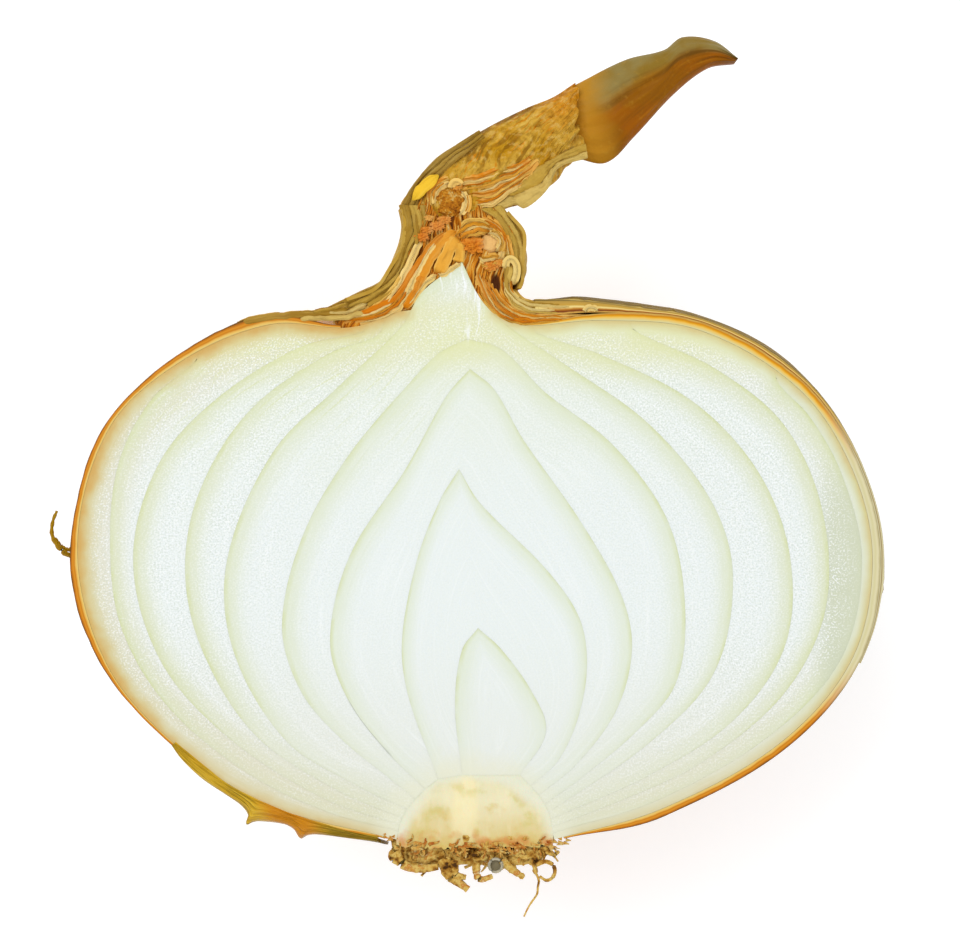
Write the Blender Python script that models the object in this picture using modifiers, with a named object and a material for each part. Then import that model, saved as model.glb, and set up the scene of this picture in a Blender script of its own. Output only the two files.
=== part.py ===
"""A large yellow onion, halved lengthwise through its neck and root plate.

The half lies on its round back with the cut face up. Blender units are metres and +Z is
up. The origin is on the small flat spot that the half rests on, straight below the bulb's
axis at its widest level. +Y runs along the axis from root to neck, +X to the right of the
cut face. Outlines are pairs (x, y) in millimetres, as they lie on the cut face.
"""

import math
import random

import bmesh
import bpy
from mathutils import Vector
from mathutils.geometry import interpolate_bezier

MM = 0.001

# Driving dimensions, in millimetres
CUT_HEIGHT = 39.3
GAP = 0.3
SKIN_WALL = 0.5
SKIN_CLEARANCE = 0.35
LOOSE_WALL = 0.5
LOOSE_TURN = math.radians(58)
TEAR = 0.45
FLAP_WALL = 0.6
NECK_WALL = 0.9
CRUMPLE = 0.2
STALK_DEPTH = 6.0
TIP_DEPTH = 3.4
TIP_LIFT = -1.5
STALK_RIPPLE = 0.06
END_SHARE = 0.8
MERGE = 1e-7

# The flesh as a whole, from beside the neck down to the root plate
FLESH_LEFT = (
    (-6.5, 24.3), (-12, 22.5), (-20, 22.8), (-29, 19.0), (-36, 12.3), (-39, 0.5),
    (-36, -11), (-29, -19), (-20, -24.8), (-7.3, -28.2),
)
FLESH_RIGHT = (
    (2.6, 23.9), (5.3, 22.6), (13, 23.3), (23, 22.4), (32.8, 16.6), (38.2, 8.5),
    (40.2, -0.5), (38.1, -10.5), (30.8, -18.9), (19, -25.4), (8.4, -28.4),
)

# Lines between one scale and the next, outermost first, each from its top to the plate
SCALE_LINES_LEFT = (
    (
        (-27.4, 19.4), (-32, 15.4), (-35.2, 9), (-36, 0.5), (-34.8, -7.5),
        (-30.2, -15.2), (-22, -22), (-14, -25.8), (-7.2, -27.6),
    ),
    (
        (-10.7, 22.3), (-17, 20.8), (-25.5, 15.5), (-31.2, 9), (-33.7, -0.5),
        (-31, -10.5), (-24.5, -18), (-15, -24.2), (-7.1, -27.0),
    ),
    (
        (-9.2, 22.0), (-14, 20.2), (-22, 14.5), (-27, 6.5), (-28.5, -1.5),
        (-26.8, -9.5), (-21.5, -18), (-13, -23.7), (-6.8, -26.3),
    ),
    (
        (-0.8, 29.3), (-4.8, 26.3), (-6.9, 22.8), (-13, 17), (-19.7, 10.3),
        (-24.3, -0.5), (-23.7, -9.5), (-18.5, -18.5), (-11.5, -23.0), (-6.3, -25.4),
    ),
    (
        (-0.3, 21.6), (-3.1, 20.2), (-6.5, 16.7), (-12.2, 9.9), (-16.7, 2),
        (-18.8, -7), (-17, -13.5), (-13, -18.3), (-8, -22.4), (-5.5, -24.4),
    ),
    (
        (0.0, 18.6), (-2.3, 16), (-6.5, 8.5), (-12, 0), (-14, -8.5),
        (-12.3, -14.3), (-8.5, -19.5), (-4.5, -23.4),
    ),
    (
        (-1.1, 8.6), (-3, 5.5), (-5.3, -0.5), (-6.8, -8.5), (-6.2, -14), (-3.2, -22.4),
    ),
    (
        (0.8, -7.3), (-0.8, -9.5), (-1.5, -15), (-0.8, -22.0),
    ),
)
SCALE_LINES_RIGHT = (
    (
        (30.8, 17.2), (34, 13.8), (37.2, 8), (39.2, -0.5), (37.2, -10.2),
        (30.2, -17.9), (18.8, -24.5), (8.3, -27.8),
    ),
    (
        (16.5, 22.4), (24.6, 18.6), (31.5, 12.9), (35.3, 4.2), (35.5, -5.7),
        (31.3, -14), (23.1, -20.8), (15, -24.6), (8.2, -27.2),
    ),
    (
        (6.6, 22.2), (13.4, 19.9), (22.5, 15.2), (28.9, 8.2), (32, -0.1),
        (31.5, -9.1), (26.4, -16.5), (18, -22), (8.1, -26.4),
    ),
    (
        (-0.8, 29.3), (1.2, 25.4), (4.2, 22.6), (9.3, 19.2), (17.9, 13.1),
        (24.3, 5.1), (26.3, -2.3), (24.4, -11.8), (17.8, -18.9), (7.9, -25.7),
    ),
    (
        (-0.3, 21.6), (3.1, 20.6), (7.6, 16.2), (14.3, 11), (19.7, 3.6),
        (21.5, -5), (20.6, -12.8), (16.6, -17.7), (11, -22.4), (7.5, -24.9),
    ),
    (
        (0.0, 18.6), (2.4, 16.6), (5.3, 11.6), (11.1, 3.3), (15.1, -3.9),
        (16.2, -9.4), (14.6, -15.6), (10.6, -21), (6.9, -24.0),
    ),
    (
        (-1.1, 8.6), (1.0, 5.2), (7.5, -1.3), (10.9, -6.2), (11.7, -11),
        (10.8, -16.3), (8.8, -20.6), (6.1, -23.1),
    ),
    (
        (0.8, -7.3), (3.1, -9.4), (6.2, -13.7), (7.6, -17.7), (5.0, -22.0),
    ),
)
NECK_LINE = 3
NECK_BASE = 22.7
LINE_ROWS = (17, 17, 17, 16, 15, 14, 12, 10)
TURN_STEPS = (18, 18, 18, 18, 16, 16, 14, 12)

# The top of each outer scale lies bare on the shoulder, from its own top inwards
SHOULDER_LEFT = ((-27.2, -11.2), (-10.4, -9.6), (-8.4, -7.5))
SHOULDER_RIGHT = ((30.6, 17.3), (16.0, 7.4), (6.2, 5.0))
SHOULDER_SHARE = 0.93
BARE_ROWS = (5, 3, 2)
FINE_COUNT = 480

# Root plate and what hangs below it
PLATE_AXIS = 0.4
PLATE_LEFT = ((0.6, -22.3), (-3, -22.8), (-5.1, -24.4), (-6.4, -26.5), (-6.8, -28.6))
PLATE_RIGHT = ((0.6, -22.3), (4.6, -22.6), (6.7, -24.4), (7.6, -26.5), (7.8, -28.6))
CORK_LEFT = ((-7.0, -28.9), (-7.5, -29.8), (-6.4, -30.8), (-4.8, -31.2))
CORK_RIGHT = ((8.0, -28.9), (8.3, -29.8), (7.2, -30.8), (5.6, -31.3))
ROOT_COUNT = 34
ROOT_SEED = 7
ROOT_RADIUS = 0.42
ROOT_SPREAD = 6.4
ROOT_LEVEL = -30.0
ROOT_SINK = 0.6
ROOT_LENGTHS = (1.6, 3.6)
LONG_ROOT = ((6.6, -30.2), (7.6, -31.3), (6.9, -33.2), (6.5, -34.8), (5.4, -36.2))
LONG_ROOT_RADII = (0.5, 0.42, 0.32, 0.28, 0.2)
LONG_ROOT_SINK = 1.6
LOOP_ROOT = ((7.2, -29.9), (8.5, -30.9), (8.6, -32.0), (7.9, -32.7))
LOOP_ROOT_RADII = (0.5, 0.45, 0.42, 0.38)
LOOP_ROOT_SINK = 2.6

# Dry skins
SKIN_LEFT = (
    (-13.0, 24.6), (-18.5, 24.5), (-24, 23.1), (-32, 18.1), (-37.5, 11.5), (-40.1, 1),
    (-39.2, -6), (-36, -12.6), (-29.8, -19.2), (-21, -25.6), (-14, -28.0), (-8.3, -29.2),
)
LOOSE_RIGHT = (
    (6.4, 26.2), (11.6, 26.1), (17.6, 25.3), (22.5, 24.4), (29, 21.8), (34, 17.8),
    (38, 12.5), (41.1, 5), (42.0, -1), (41.3, -7.6), (40.1, -11.5),
)
FLAP_EDGE = (
    (-30.4, -19.6), (-28.2, -21.8), (-25.6, -23.9), (-23.6, -25.4), (-22.6, -27.2),
    (-21.6, -26.8), (-19.5, -27.4), (-18, -28.0), (-16.9, -29.0), (-15.9, -28.7),
    (-13, -29.2), (-10.4, -29.8),
)
FLAP_DEPTH = 10.0
FLAP_TOP = 0.8
FLAP_LEAN = 0.5
FLAP_STEPS = 4
STRIP_SINK = 0.7
STRIP_PATH = (
    (-40.75, -0.4), (-41.4, 0.7), (-41.9, 2.0), (-41.8, 3.4), (-41.4, 4.4),
)
STRIP_RADIUS = 0.3

# Neck sheaths, crumpled leaf ends and stalk
SHEATH_LEFT = ((-12.4, 25.7), (-9.3, 27.1), (-7.5, 30), (-6.7, 32.6), (-7.1, 34.6))
SHEATH_RIGHT = ((5.1, 26.6), (5.4, 28.4), (5.6, 30.6), (5.4, 32.4), (3.8, 34.4))
MIDDLE_LEFT = ((-10.2, 25.1), (-7.9, 26.6), (-6.0, 29.2), (-5.5, 31.8), (-5.7, 34.0))
MIDDLE_RIGHT = ((4.9, 25.2), (4.1, 26.8), (3.9, 29.4), (4.0, 31.8), (2.9, 34.0))
LINING_LEFT = ((-8.2, 24.5), (-6.6, 25.9), (-4.7, 28.4), (-4.3, 31), (-4.6, 33.6))
LINING_RIGHT = ((3.8, 24.2), (2.8, 25.8), (2.5, 28), (2.6, 30.6), (2.0, 33.6))
KNOT_LEFT = ((-1.3, 30.4), (-2.6, 31.5), (-2.8, 33.0), (-1.8, 34.2))
KNOT_RIGHT = ((0.1, 30.4), (0.9, 31.4), (0.9, 32.9), (0.2, 34.2))
STALK_UPPER = (
    (-7.1, 35.2), (-5.9, 36.9), (-3.2, 39.9), (1.2, 42.8), (5.5, 45), (8.4, 46.2),
    (10.0, 47.3),
)
STALK_LOWER = (
    (3.6, 34.9), (5.6, 35.1), (7.6, 36.4), (8.9, 37.9), (9.6, 39.0), (10.2, 39.4),
    (10.6, 40.1),
)
TIP_UPPER = (
    (10.5, 47.4), (15.7, 50), (19.6, 51), (21.5, 52.3), (24.7, 51.9), (27.1, 50.1),
)
TIP_LOWER = (
    (11.0, 40.0), (13.8, 39.6), (16.6, 42.2), (20.6, 46.5), (24.0, 49.1), (26.7, 49.6),
)

# Finishes as colour and roughness
FINISHES = {
    "outer_flesh": ((0.80, 0.78, 0.60, 1), 0.35),
    "inner_flesh": ((0.86, 0.88, 0.78, 1), 0.32),
    "plate_flesh": ((0.80, 0.68, 0.40, 1), 0.5),
    "root_fibre": ((0.30, 0.17, 0.06, 1), 0.85),
    "dry_skin": ((0.50, 0.24, 0.05, 1), 0.45),
    "old_skin": ((0.33, 0.22, 0.11, 1), 0.6),
    "yellow_skin": ((0.55, 0.33, 0.04, 1), 0.35),
    "stalk_straw": ((0.48, 0.30, 0.11, 1), 0.6),
    "stalk_tip": ((0.36, 0.16, 0.03, 1), 0.5),
}


def clear_scene():
    for found in list(bpy.data.objects):
        bpy.data.objects.remove(found, do_unlink=True)


def new_collection(name):
    made = bpy.data.collections.new(name)
    bpy.context.scene.collection.children.link(made)
    return made


def new_material(name):
    colour, roughness = FINISHES[name]
    material = bpy.data.materials.new(name)
    material.use_nodes = True
    shader = material.node_tree.nodes["Principled BSDF"]
    shader.inputs["Base Color"].default_value = colour
    shader.inputs["Roughness"].default_value = roughness
    shader.inputs["Metallic"].default_value = 0.0
    return material


def evenly_spaced(points, count):
    """The same path as count points, all as far apart along it."""
    lengths = [0.0]
    for first, second in zip(points, points[1:]):
        lengths.append(lengths[-1] + (second - first).length)
    spaced = []
    piece = 0
    for i in range(count):
        wanted = lengths[-1] * i / (count - 1)
        while piece < len(points) - 2 and lengths[piece + 1] < wanted:
            piece += 1
        span = lengths[piece + 1] - lengths[piece]
        spaced.append(points[piece].lerp(points[piece + 1], (wanted - lengths[piece]) / span))
    return spaced


def smooth_line(knots, count, closeness=16):
    """A smooth path through the knots, as count evenly spaced points."""
    points = [Vector(knot) for knot in knots]
    last = len(points) - 1
    ways = []
    for i in range(last + 1):
        ways.append((points[min(i + 1, last)] - points[max(i - 1, 0)]).normalized())
    fine = [points[0]]
    for i in range(last):
        reach = (points[i + 1] - points[i]).length / 3
        ahead = points[i] + ways[i] * reach
        behind = points[i + 1] - ways[i + 1] * reach
        fine += interpolate_bezier(points[i], ahead, behind, points[i + 1], closeness)[1:]
    return evenly_spaced(fine, count)


def moved_out(line, distance, outward_x):
    """The line moved square to itself, to the side that outward_x (1 or -1) points to."""
    last = len(line) - 1
    moved = []
    for i, point in enumerate(line):
        way = line[min(i + 1, last)] - line[max(i - 1, 0)]
        normal = Vector((-way.y, way.x)).normalized() * outward_x
        moved.append(point + normal * distance)
    return moved


def part_of(line, first_x, last_x):
    """The stretch of a line between two values of x, in the order in which they are given."""
    low, high = sorted((first_x, last_x))
    stretch = [point for point in line if low <= point.x <= high and point.y > 0]
    if (stretch[0].x - first_x) ** 2 > (stretch[-1].x - first_x) ** 2:
        stretch.reverse()
    return stretch


def half_turn_sections(left, right, steps, deepest=CUT_HEIGHT, turn=math.pi):
    """Rows of points from the right outline round the back towards the left outline.

    At each level the row is a half circle from the right outline to the left one. What
    would lie deeper than the deepest value is pressed flat there.
    """
    sections = []
    for step in range(steps + 1):
        angle = turn * step / steps
        share = (1 - math.cos(angle)) / 2
        row = []
        for at_left, at_right in zip(left, right):
            radius = (at_right.x - at_left.x) / 2
            x = (at_left.x + at_right.x) / 2 + radius * math.cos(angle)
            y = at_right.y + (at_left.y - at_right.y) * share
            z = CUT_HEIGHT - min(radius * math.sin(angle), deepest)
            row.append(Vector((x, y, z)) * MM)
        sections.append(row)
    return sections


def add_rows(bm, sections):
    return [[bm.verts.new(point) for point in row] for row in sections]


def join_rows(bm, rows):
    """Quads between each row and the next."""
    for first, second in zip(rows, rows[1:]):
        for i in range(len(first) - 1):
            bm.faces.new((first[i], first[i + 1], second[i + 1], second[i]))


def finished_object(name, bm, collection, material, closed=True):
    bmesh.ops.remove_doubles(bm, verts=bm.verts[:], dist=MERGE)
    if closed:
        bmesh.ops.recalc_face_normals(bm, faces=bm.faces[:])
    mesh = bpy.data.meshes.new(name)
    bm.to_mesh(mesh)
    bm.free()
    mesh.shade_smooth()
    mesh.set_sharp_from_angle(angle=math.radians(40))
    made = bpy.data.objects.new(name, mesh)
    made.data.materials.append(material)
    collection.objects.link(made)
    return made


def half_shell(name, outer, inner, steps, collection, material, deepest=CUT_HEIGHT):
    """A closed wall between two half-turned surfaces, each given as (left, right)."""
    bm = bmesh.new()
    out_rows = add_rows(bm, half_turn_sections(*outer, steps, deepest))
    in_rows = add_rows(bm, half_turn_sections(*inner, steps))
    join_rows(bm, out_rows)
    join_rows(bm, in_rows)
    for end in (0, -1):
        join_rows(bm, [(a[end], b[end]) for a, b in zip(out_rows, in_rows)])
        join_rows(bm, (out_rows[end], in_rows[end]))
    return finished_object(name, bm, collection, material)


def half_solid(name, left, right, steps, collection, material):
    """A closed half-turned solid, flat on the cut face."""
    bm = bmesh.new()
    rows = add_rows(bm, half_turn_sections(left, right, steps))
    join_rows(bm, rows)
    join_rows(bm, (rows[0], rows[-1]))
    bm.faces.new([row[-1] for row in rows])
    if (left[0] - right[0]).length > GAP:
        bm.faces.new([row[0] for row in rows])
    return finished_object(name, bm, collection, material)


def sheet(name, sections, wall, collection, material, centre):
    """An open surface with a wall grown from it towards the centre."""
    bm = bmesh.new()
    join_rows(bm, add_rows(bm, sections))
    bm.faces.ensure_lookup_table()
    bm.normal_update()
    face = max(bm.faces, key=lambda found: found.calc_area())
    if face.normal.dot(face.calc_center_median() - centre) < 0:
        bmesh.ops.reverse_faces(bm, faces=bm.faces[:])
    made = finished_object(name, bm, collection, material, closed=False)
    solidify = made.modifiers.new("Wall", "SOLIDIFY")
    solidify.thickness = wall * MM
    solidify.offset = -1
    solidify.use_even_offset = True
    return made


def lofted(name, upper, lower, depth, lift, sides, collection, material):
    """A flattened closed tube whose width runs from the lower to the upper outline."""
    bm = bmesh.new()
    rings = []
    last = len(upper) - 1
    for i, (above, below) in enumerate(zip(upper, lower)):
        middle = (above + below) / 2
        half = (above - below) / 2
        swell = min(1.0, END_SHARE + math.sin(math.pi * i / last)) * depth / 2
        ring = []
        for side in range(sides):
            angle = 2 * math.pi * side / sides
            wave = 1 + STALK_RIPPLE * math.sin(3 * angle + 1.9 * i)
            flat = middle + half * math.cos(angle)
            z = CUT_HEIGHT - depth / 2 + lift + swell * wave * math.sin(angle)
            ring.append(bm.verts.new(Vector((flat.x, flat.y, z)) * MM))
        rings.append(ring + ring[:1])
    join_rows(bm, rings)
    bm.faces.new(rings[0][:-1])
    bm.faces.new(rings[-1][:-1])
    return finished_object(name, bm, collection, material)


def tube(name, path, radii, collection, material):
    """A round tube along a path of points in millimetres, made a closed mesh."""
    curve = bpy.data.curves.new(name, "CURVE")
    curve.dimensions = "3D"
    curve.bevel_depth = MM
    curve.bevel_resolution = 1
    curve.use_fill_caps = True
    spline = curve.splines.new("POLY")
    spline.points.add(len(path) - 1)
    for point, place, radius in zip(spline.points, path, radii):
        point.co = (*(place * MM), 1)
        point.radius = radius
    guide = bpy.data.objects.new(name + "_guide", curve)
    bpy.context.scene.collection.objects.link(guide)
    graph = bpy.context.evaluated_depsgraph_get()
    mesh = bpy.data.meshes.new_from_object(guide.evaluated_get(graph))
    bpy.data.objects.remove(guide, do_unlink=True)
    bm = bmesh.new()
    bm.from_mesh(mesh)
    bpy.data.meshes.remove(mesh)
    bmesh.ops.remove_doubles(bm, verts=bm.verts[:], dist=MERGE * 10)
    return finished_object(name, bm, collection, material)


def fuse(core, pieces):
    """One union of a core with every object of a collection, which is then removed."""
    union = core.modifiers.new("Union", "BOOLEAN")
    union.operation = "UNION"
    union.operand_type = "COLLECTION"
    union.collection = pieces
    union.solver = "MANIFOLD"
    graph = bpy.context.evaluated_depsgraph_get()
    fused = bpy.data.meshes.new_from_object(core.evaluated_get(graph))
    core.modifiers.remove(union)
    core.data = fused
    for piece in list(pieces.objects):
        bpy.data.objects.remove(piece, do_unlink=True)
    bpy.data.collections.remove(pieces)


def below_neck(knots):
    return [knot for knot in knots if knot[1] < NECK_BASE + GAP]


def scale_outlines(number, rows):
    """The outer and inner surface of one scale as ((left, right), (left, right))."""
    sides = []
    for lines, flesh, shoulders, outward_x in (
        (SCALE_LINES_LEFT, FLESH_LEFT, SHOULDER_LEFT, -1),
        (SCALE_LINES_RIGHT, FLESH_RIGHT, SHOULDER_RIGHT, 1),
    ):
        whole = smooth_line(flesh, FINE_COUNT)
        inner = smooth_line(lines[number], rows)
        if number == NECK_LINE:
            inner = smooth_line(below_neck(lines[number]), rows)
        if number == 0:
            start = shoulders[0][0]
            outer = [p for p in whole if p.y < 0 or abs(p.x) >= abs(start)]
            outer = evenly_spaced(outer, rows)
        else:
            outer = smooth_line(lines[number - 1], rows)
            if number <= len(shoulders):
                far, near = shoulders[number - 1]
                far = near + (far - near) * SHOULDER_SHARE
                bare_rows = BARE_ROWS[number - 1]
                bare = evenly_spaced(part_of(whole, near, far), bare_rows)
                outer = bare + smooth_line(lines[number - 1], rows - bare_rows)
        outer = moved_out(outer, -GAP / 2, outward_x)
        inner = moved_out(inner, GAP / 2, outward_x)
        sides.append((outer, inner))
    (outer_left, inner_left), (outer_right, inner_right) = sides
    if number > NECK_LINE:
        close_tip(outer_left, outer_right, -GAP)
        close_tip(inner_left, inner_right, GAP)
    return (outer_left, outer_right), (inner_left, inner_right)


def close_tip(left, right, rise):
    """Gives two outlines one shared top point, rise above their mean."""
    tip = (left[0] + right[0]) / 2
    left[0] = Vector((tip.x, max(left[0].y, right[0].y) + rise / 2))
    right[0] = left[0].copy()


def build_scales(collection, outer_flesh, inner_flesh):
    flesh_depth = CUT_HEIGHT - SKIN_WALL - SKIN_CLEARANCE - GAP / 2
    for number, rows in enumerate(LINE_ROWS):
        outer, inner = scale_outlines(number, rows)
        material = outer_flesh if number < NECK_LINE else inner_flesh
        half_shell(
            f"fleshy_scale_{number + 1}", outer, inner, TURN_STEPS[number], collection,
            material, flesh_depth,
        )
    left = moved_out(smooth_line(SCALE_LINES_LEFT[-1], 10), -GAP / 2, -1)
    right = moved_out(smooth_line(SCALE_LINES_RIGHT[-1], 10), -GAP / 2, 1)
    close_tip(left, right, -GAP)
    half_solid("heart_bud", left, right, 12, collection, inner_flesh)


def build_plate(collection, material):
    left = smooth_line(PLATE_LEFT, 9)
    right = smooth_line(PLATE_RIGHT, 9)
    half_solid("basal_plate", left, right, 14, collection, material)


def build_roots(collection, material):
    """A low pad of cork with short dried roots sunk into it, by a seeded rule."""
    left = smooth_line(CORK_LEFT, 5)
    right = smooth_line(CORK_RIGHT, 5)
    pad = half_solid("roots", left, right, 12, collection, material)
    pieces = new_collection("root_pieces")
    draw = random.Random(ROOT_SEED)
    golden = math.pi * (3 - math.sqrt(5))
    for i in range(ROOT_COUNT):
        spread = ROOT_SPREAD * math.sqrt((i + 0.5) / ROOT_COUNT)
        angle = (i * golden) % math.pi
        across = math.cos(angle)
        depth = ROOT_SINK + spread * math.sin(angle)
        start = Vector((PLATE_AXIS + spread * across, ROOT_LEVEL, CUT_HEIGHT - depth))
        length = draw.uniform(*ROOT_LENGTHS)
        lean = Vector((across * draw.uniform(0.2, 0.9), -1, draw.uniform(-0.5, 0.2)))
        bend = Vector((draw.uniform(-0.7, 0.7), draw.uniform(-0.2, 0.3), draw.uniform(-0.6, 0.2)))
        path = [start, start + lean * length * 0.55, start + (lean + bend * 0.6) * length]
        radius = ROOT_RADIUS * draw.uniform(0.75, 1.35)
        tube(f"root_{i}", path, (radius * 1.2, radius, radius * 0.7), pieces, material)
    path = [Vector((x, y, CUT_HEIGHT - LONG_ROOT_SINK)) for x, y in LONG_ROOT]
    tube("root_long", path, LONG_ROOT_RADII, pieces, material)
    path = [Vector((x, y, CUT_HEIGHT - LOOP_ROOT_SINK)) for x, y in LOOP_ROOT]
    tube("root_loop", path, LOOP_ROOT_RADII, pieces, material)
    fuse(pad, pieces)


def build_skins(collection, dry, old, yellow):
    axis_point = Vector((0, 0, CUT_HEIGHT)) * MM
    skin_left = smooth_line(SKIN_LEFT, 18)
    skin_right = smooth_line(FLESH_RIGHT[1:-1] + ((9.4, -28.6),), 18)
    skin_right = moved_out(skin_right, SKIN_CLEARANCE + SKIN_WALL, 1)
    sections = half_turn_sections(skin_left, skin_right, 18)
    sheet("dry_skin", sections, SKIN_WALL, collection, dry, axis_point)

    loose_left = moved_out(smooth_line(SKIN_LEFT[:8], 13), SKIN_CLEARANCE + LOOSE_WALL, -1)
    loose_right = smooth_line(LOOSE_RIGHT, 13)
    sections = half_turn_sections(loose_left, loose_right, 8, turn=LOOSE_TURN)
    for i, point in enumerate(sections[-1]):
        kept = sections[-2][i]
        sections[-1][i] = kept.lerp(point, 1 + TEAR * math.sin(2.1 * i))
    sheet("loose_skin", sections, LOOSE_WALL, collection, old, axis_point)

    edge = smooth_line(FLAP_EDGE, 19)
    against = moved_out(smooth_line(SKIN_LEFT[8:], 19), GAP + FLAP_WALL, -1)
    sections = []
    for step in range(FLAP_STEPS + 1):
        share = step / FLAP_STEPS
        row = []
        for i, (free, resting) in enumerate(zip(edge, against)):
            reach = 0.3 + 0.7 * math.sin(math.pi * i / (len(edge) - 1))
            depth = FLAP_TOP + FLAP_DEPTH * share * reach
            flat = free.lerp(resting, math.sqrt(share))
            inward = 1 - FLAP_LEAN * (depth / CUT_HEIGHT) ** 2
            row.append(Vector((flat.x * inward, flat.y, CUT_HEIGHT - depth)) * MM)
        sections.append(row)
    sheet("torn_skin_flap", sections, FLAP_WALL, collection, yellow, axis_point)

    strip = smooth_line(STRIP_PATH, 7)
    path = [Vector((p.x, p.y, CUT_HEIGHT - STRIP_SINK)) for p in strip]
    radii = [STRIP_RADIUS * (1 - 0.4 * i / (len(path) - 1)) for i in range(len(path))]
    tube("peel_strip", path, radii, collection, yellow)


def crumpled(sections, reach):
    """The sections with folds in them, which fade out towards the cut face."""
    folded = []
    last = len(sections) - 1
    for step, row in enumerate(sections):
        inside = math.sin(math.pi * step / last)
        moved = []
        for i, point in enumerate(row):
            fold = math.sin(2.3 * step + 0.8 * i) * reach * inside * MM
            moved.append(point + Vector((fold, 0, -abs(fold))))
        folded.append(moved)
    return folded


def build_neck(collection, straw, dry, tip):
    inside = Vector((-1.0, 20.0, CUT_HEIGHT)) * MM
    for name, outline_left, outline_right, material in (
        ("neck_sheath", SHEATH_LEFT, SHEATH_RIGHT, straw),
        ("neck_middle_sheath", MIDDLE_LEFT, MIDDLE_RIGHT, dry),
        ("neck_lining", LINING_LEFT, LINING_RIGHT, dry),
    ):
        left = smooth_line(outline_left, 8)
        right = smooth_line(outline_right, 8)
        sections = crumpled(half_turn_sections(left, right, 12), CRUMPLE)
        sheet(name, sections, NECK_WALL, collection, material, inside)

    left = smooth_line(KNOT_LEFT, 6)
    right = smooth_line(KNOT_RIGHT, 6)
    half_solid("inner_leaf_ends", left, right, 10, collection, dry)

    upper = smooth_line(STALK_UPPER, 13)
    lower = smooth_line(STALK_LOWER, 13)
    lofted("dry_stalk", upper, lower, STALK_DEPTH, 0.0, 14, collection, straw)

    upper = smooth_line(TIP_UPPER, 11)
    lower = smooth_line(TIP_LOWER, 11)
    lofted("stalk_tip_leaf", upper, lower, TIP_DEPTH, TIP_LIFT, 10, collection, tip)


def main():
    clear_scene()
    onion = new_collection("halved_onion")
    finish = {name: new_material(name) for name in FINISHES}
    build_scales(onion, finish["outer_flesh"], finish["inner_flesh"])
    build_plate(onion, finish["plate_flesh"])
    build_roots(onion, finish["root_fibre"])
    build_skins(onion, finish["dry_skin"], finish["old_skin"], finish["yellow_skin"])
    build_neck(onion, finish["stalk_straw"], finish["dry_skin"], finish["stalk_tip"])


main()
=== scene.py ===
"""A halved onion on its round back with the cut face up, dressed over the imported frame.

Outlines are (x, y) pairs in millimetres, as they lie on the cut face, and every finished
mesh is in metres in the frame's own place. +Y runs from the root plate to the neck.
"""

import enum
import logging
import math
import random
from dataclasses import dataclass
from typing import Callable, Optional, Sequence, Union

import bmesh
import bpy
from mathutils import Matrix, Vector, kdtree, noise
from mathutils.geometry import interpolate_bezier


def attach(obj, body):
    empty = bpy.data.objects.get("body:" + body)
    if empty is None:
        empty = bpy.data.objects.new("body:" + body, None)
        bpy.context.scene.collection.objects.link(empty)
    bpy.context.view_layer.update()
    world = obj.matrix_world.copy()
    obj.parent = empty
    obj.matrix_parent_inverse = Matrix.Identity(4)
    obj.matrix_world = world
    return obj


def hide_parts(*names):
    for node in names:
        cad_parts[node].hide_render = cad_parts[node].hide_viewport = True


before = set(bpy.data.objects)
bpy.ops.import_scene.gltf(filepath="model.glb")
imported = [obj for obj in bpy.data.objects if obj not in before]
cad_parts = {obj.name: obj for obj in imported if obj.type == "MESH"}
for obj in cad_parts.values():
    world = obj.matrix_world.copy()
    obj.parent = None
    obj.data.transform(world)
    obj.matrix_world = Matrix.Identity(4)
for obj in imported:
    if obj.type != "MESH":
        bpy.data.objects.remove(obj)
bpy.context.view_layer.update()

LOG = logging.getLogger("halved_onion")
MM = 0.001
CUT = 39.3  # height of the cut face, in millimetres
MERGE = 2e-7  # points closer than this become one, in metres
FLOW = "flow"  # the mesh attribute that the finishes follow
LIGHT = 1.22  # how much brighter than its tone the studio shows a surface
DENSE = 480  # points on a line that others are measured from
STRIP_FACES = 8  # faces across a leaf strip
EDGE = 50.0  # shading breaks at edges sharper than this, in degrees
LEAF_EDGE = 60.0  # the same for leaf strips
GROOVE_FADE = 0.3  # how far from its edge a cut face starts to fall off, in millimetres
DEEP = 20.0  # the skin's tints reach no further into the flesh, in millimetres
BED_DEPTH = 0.92  # how deep the neck's bed is, as a share of a half-turned one
GOLDEN = 0.618  # steps that spread evenly over 0 to 1
STAGGER = 0.41  # the same, out of step with GOLDEN
FAR_BELOW = Vector((0, 0, -1000))  # a centre that makes walls grow straight down

Point = tuple[float, float]
Tone = tuple[float, float, float]
Line = list[Vector]
Placed = tuple[Vector, Vector]
Value = Union["Signal", float]
Paint = Union["Signal", Tone]


# Shading


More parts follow.
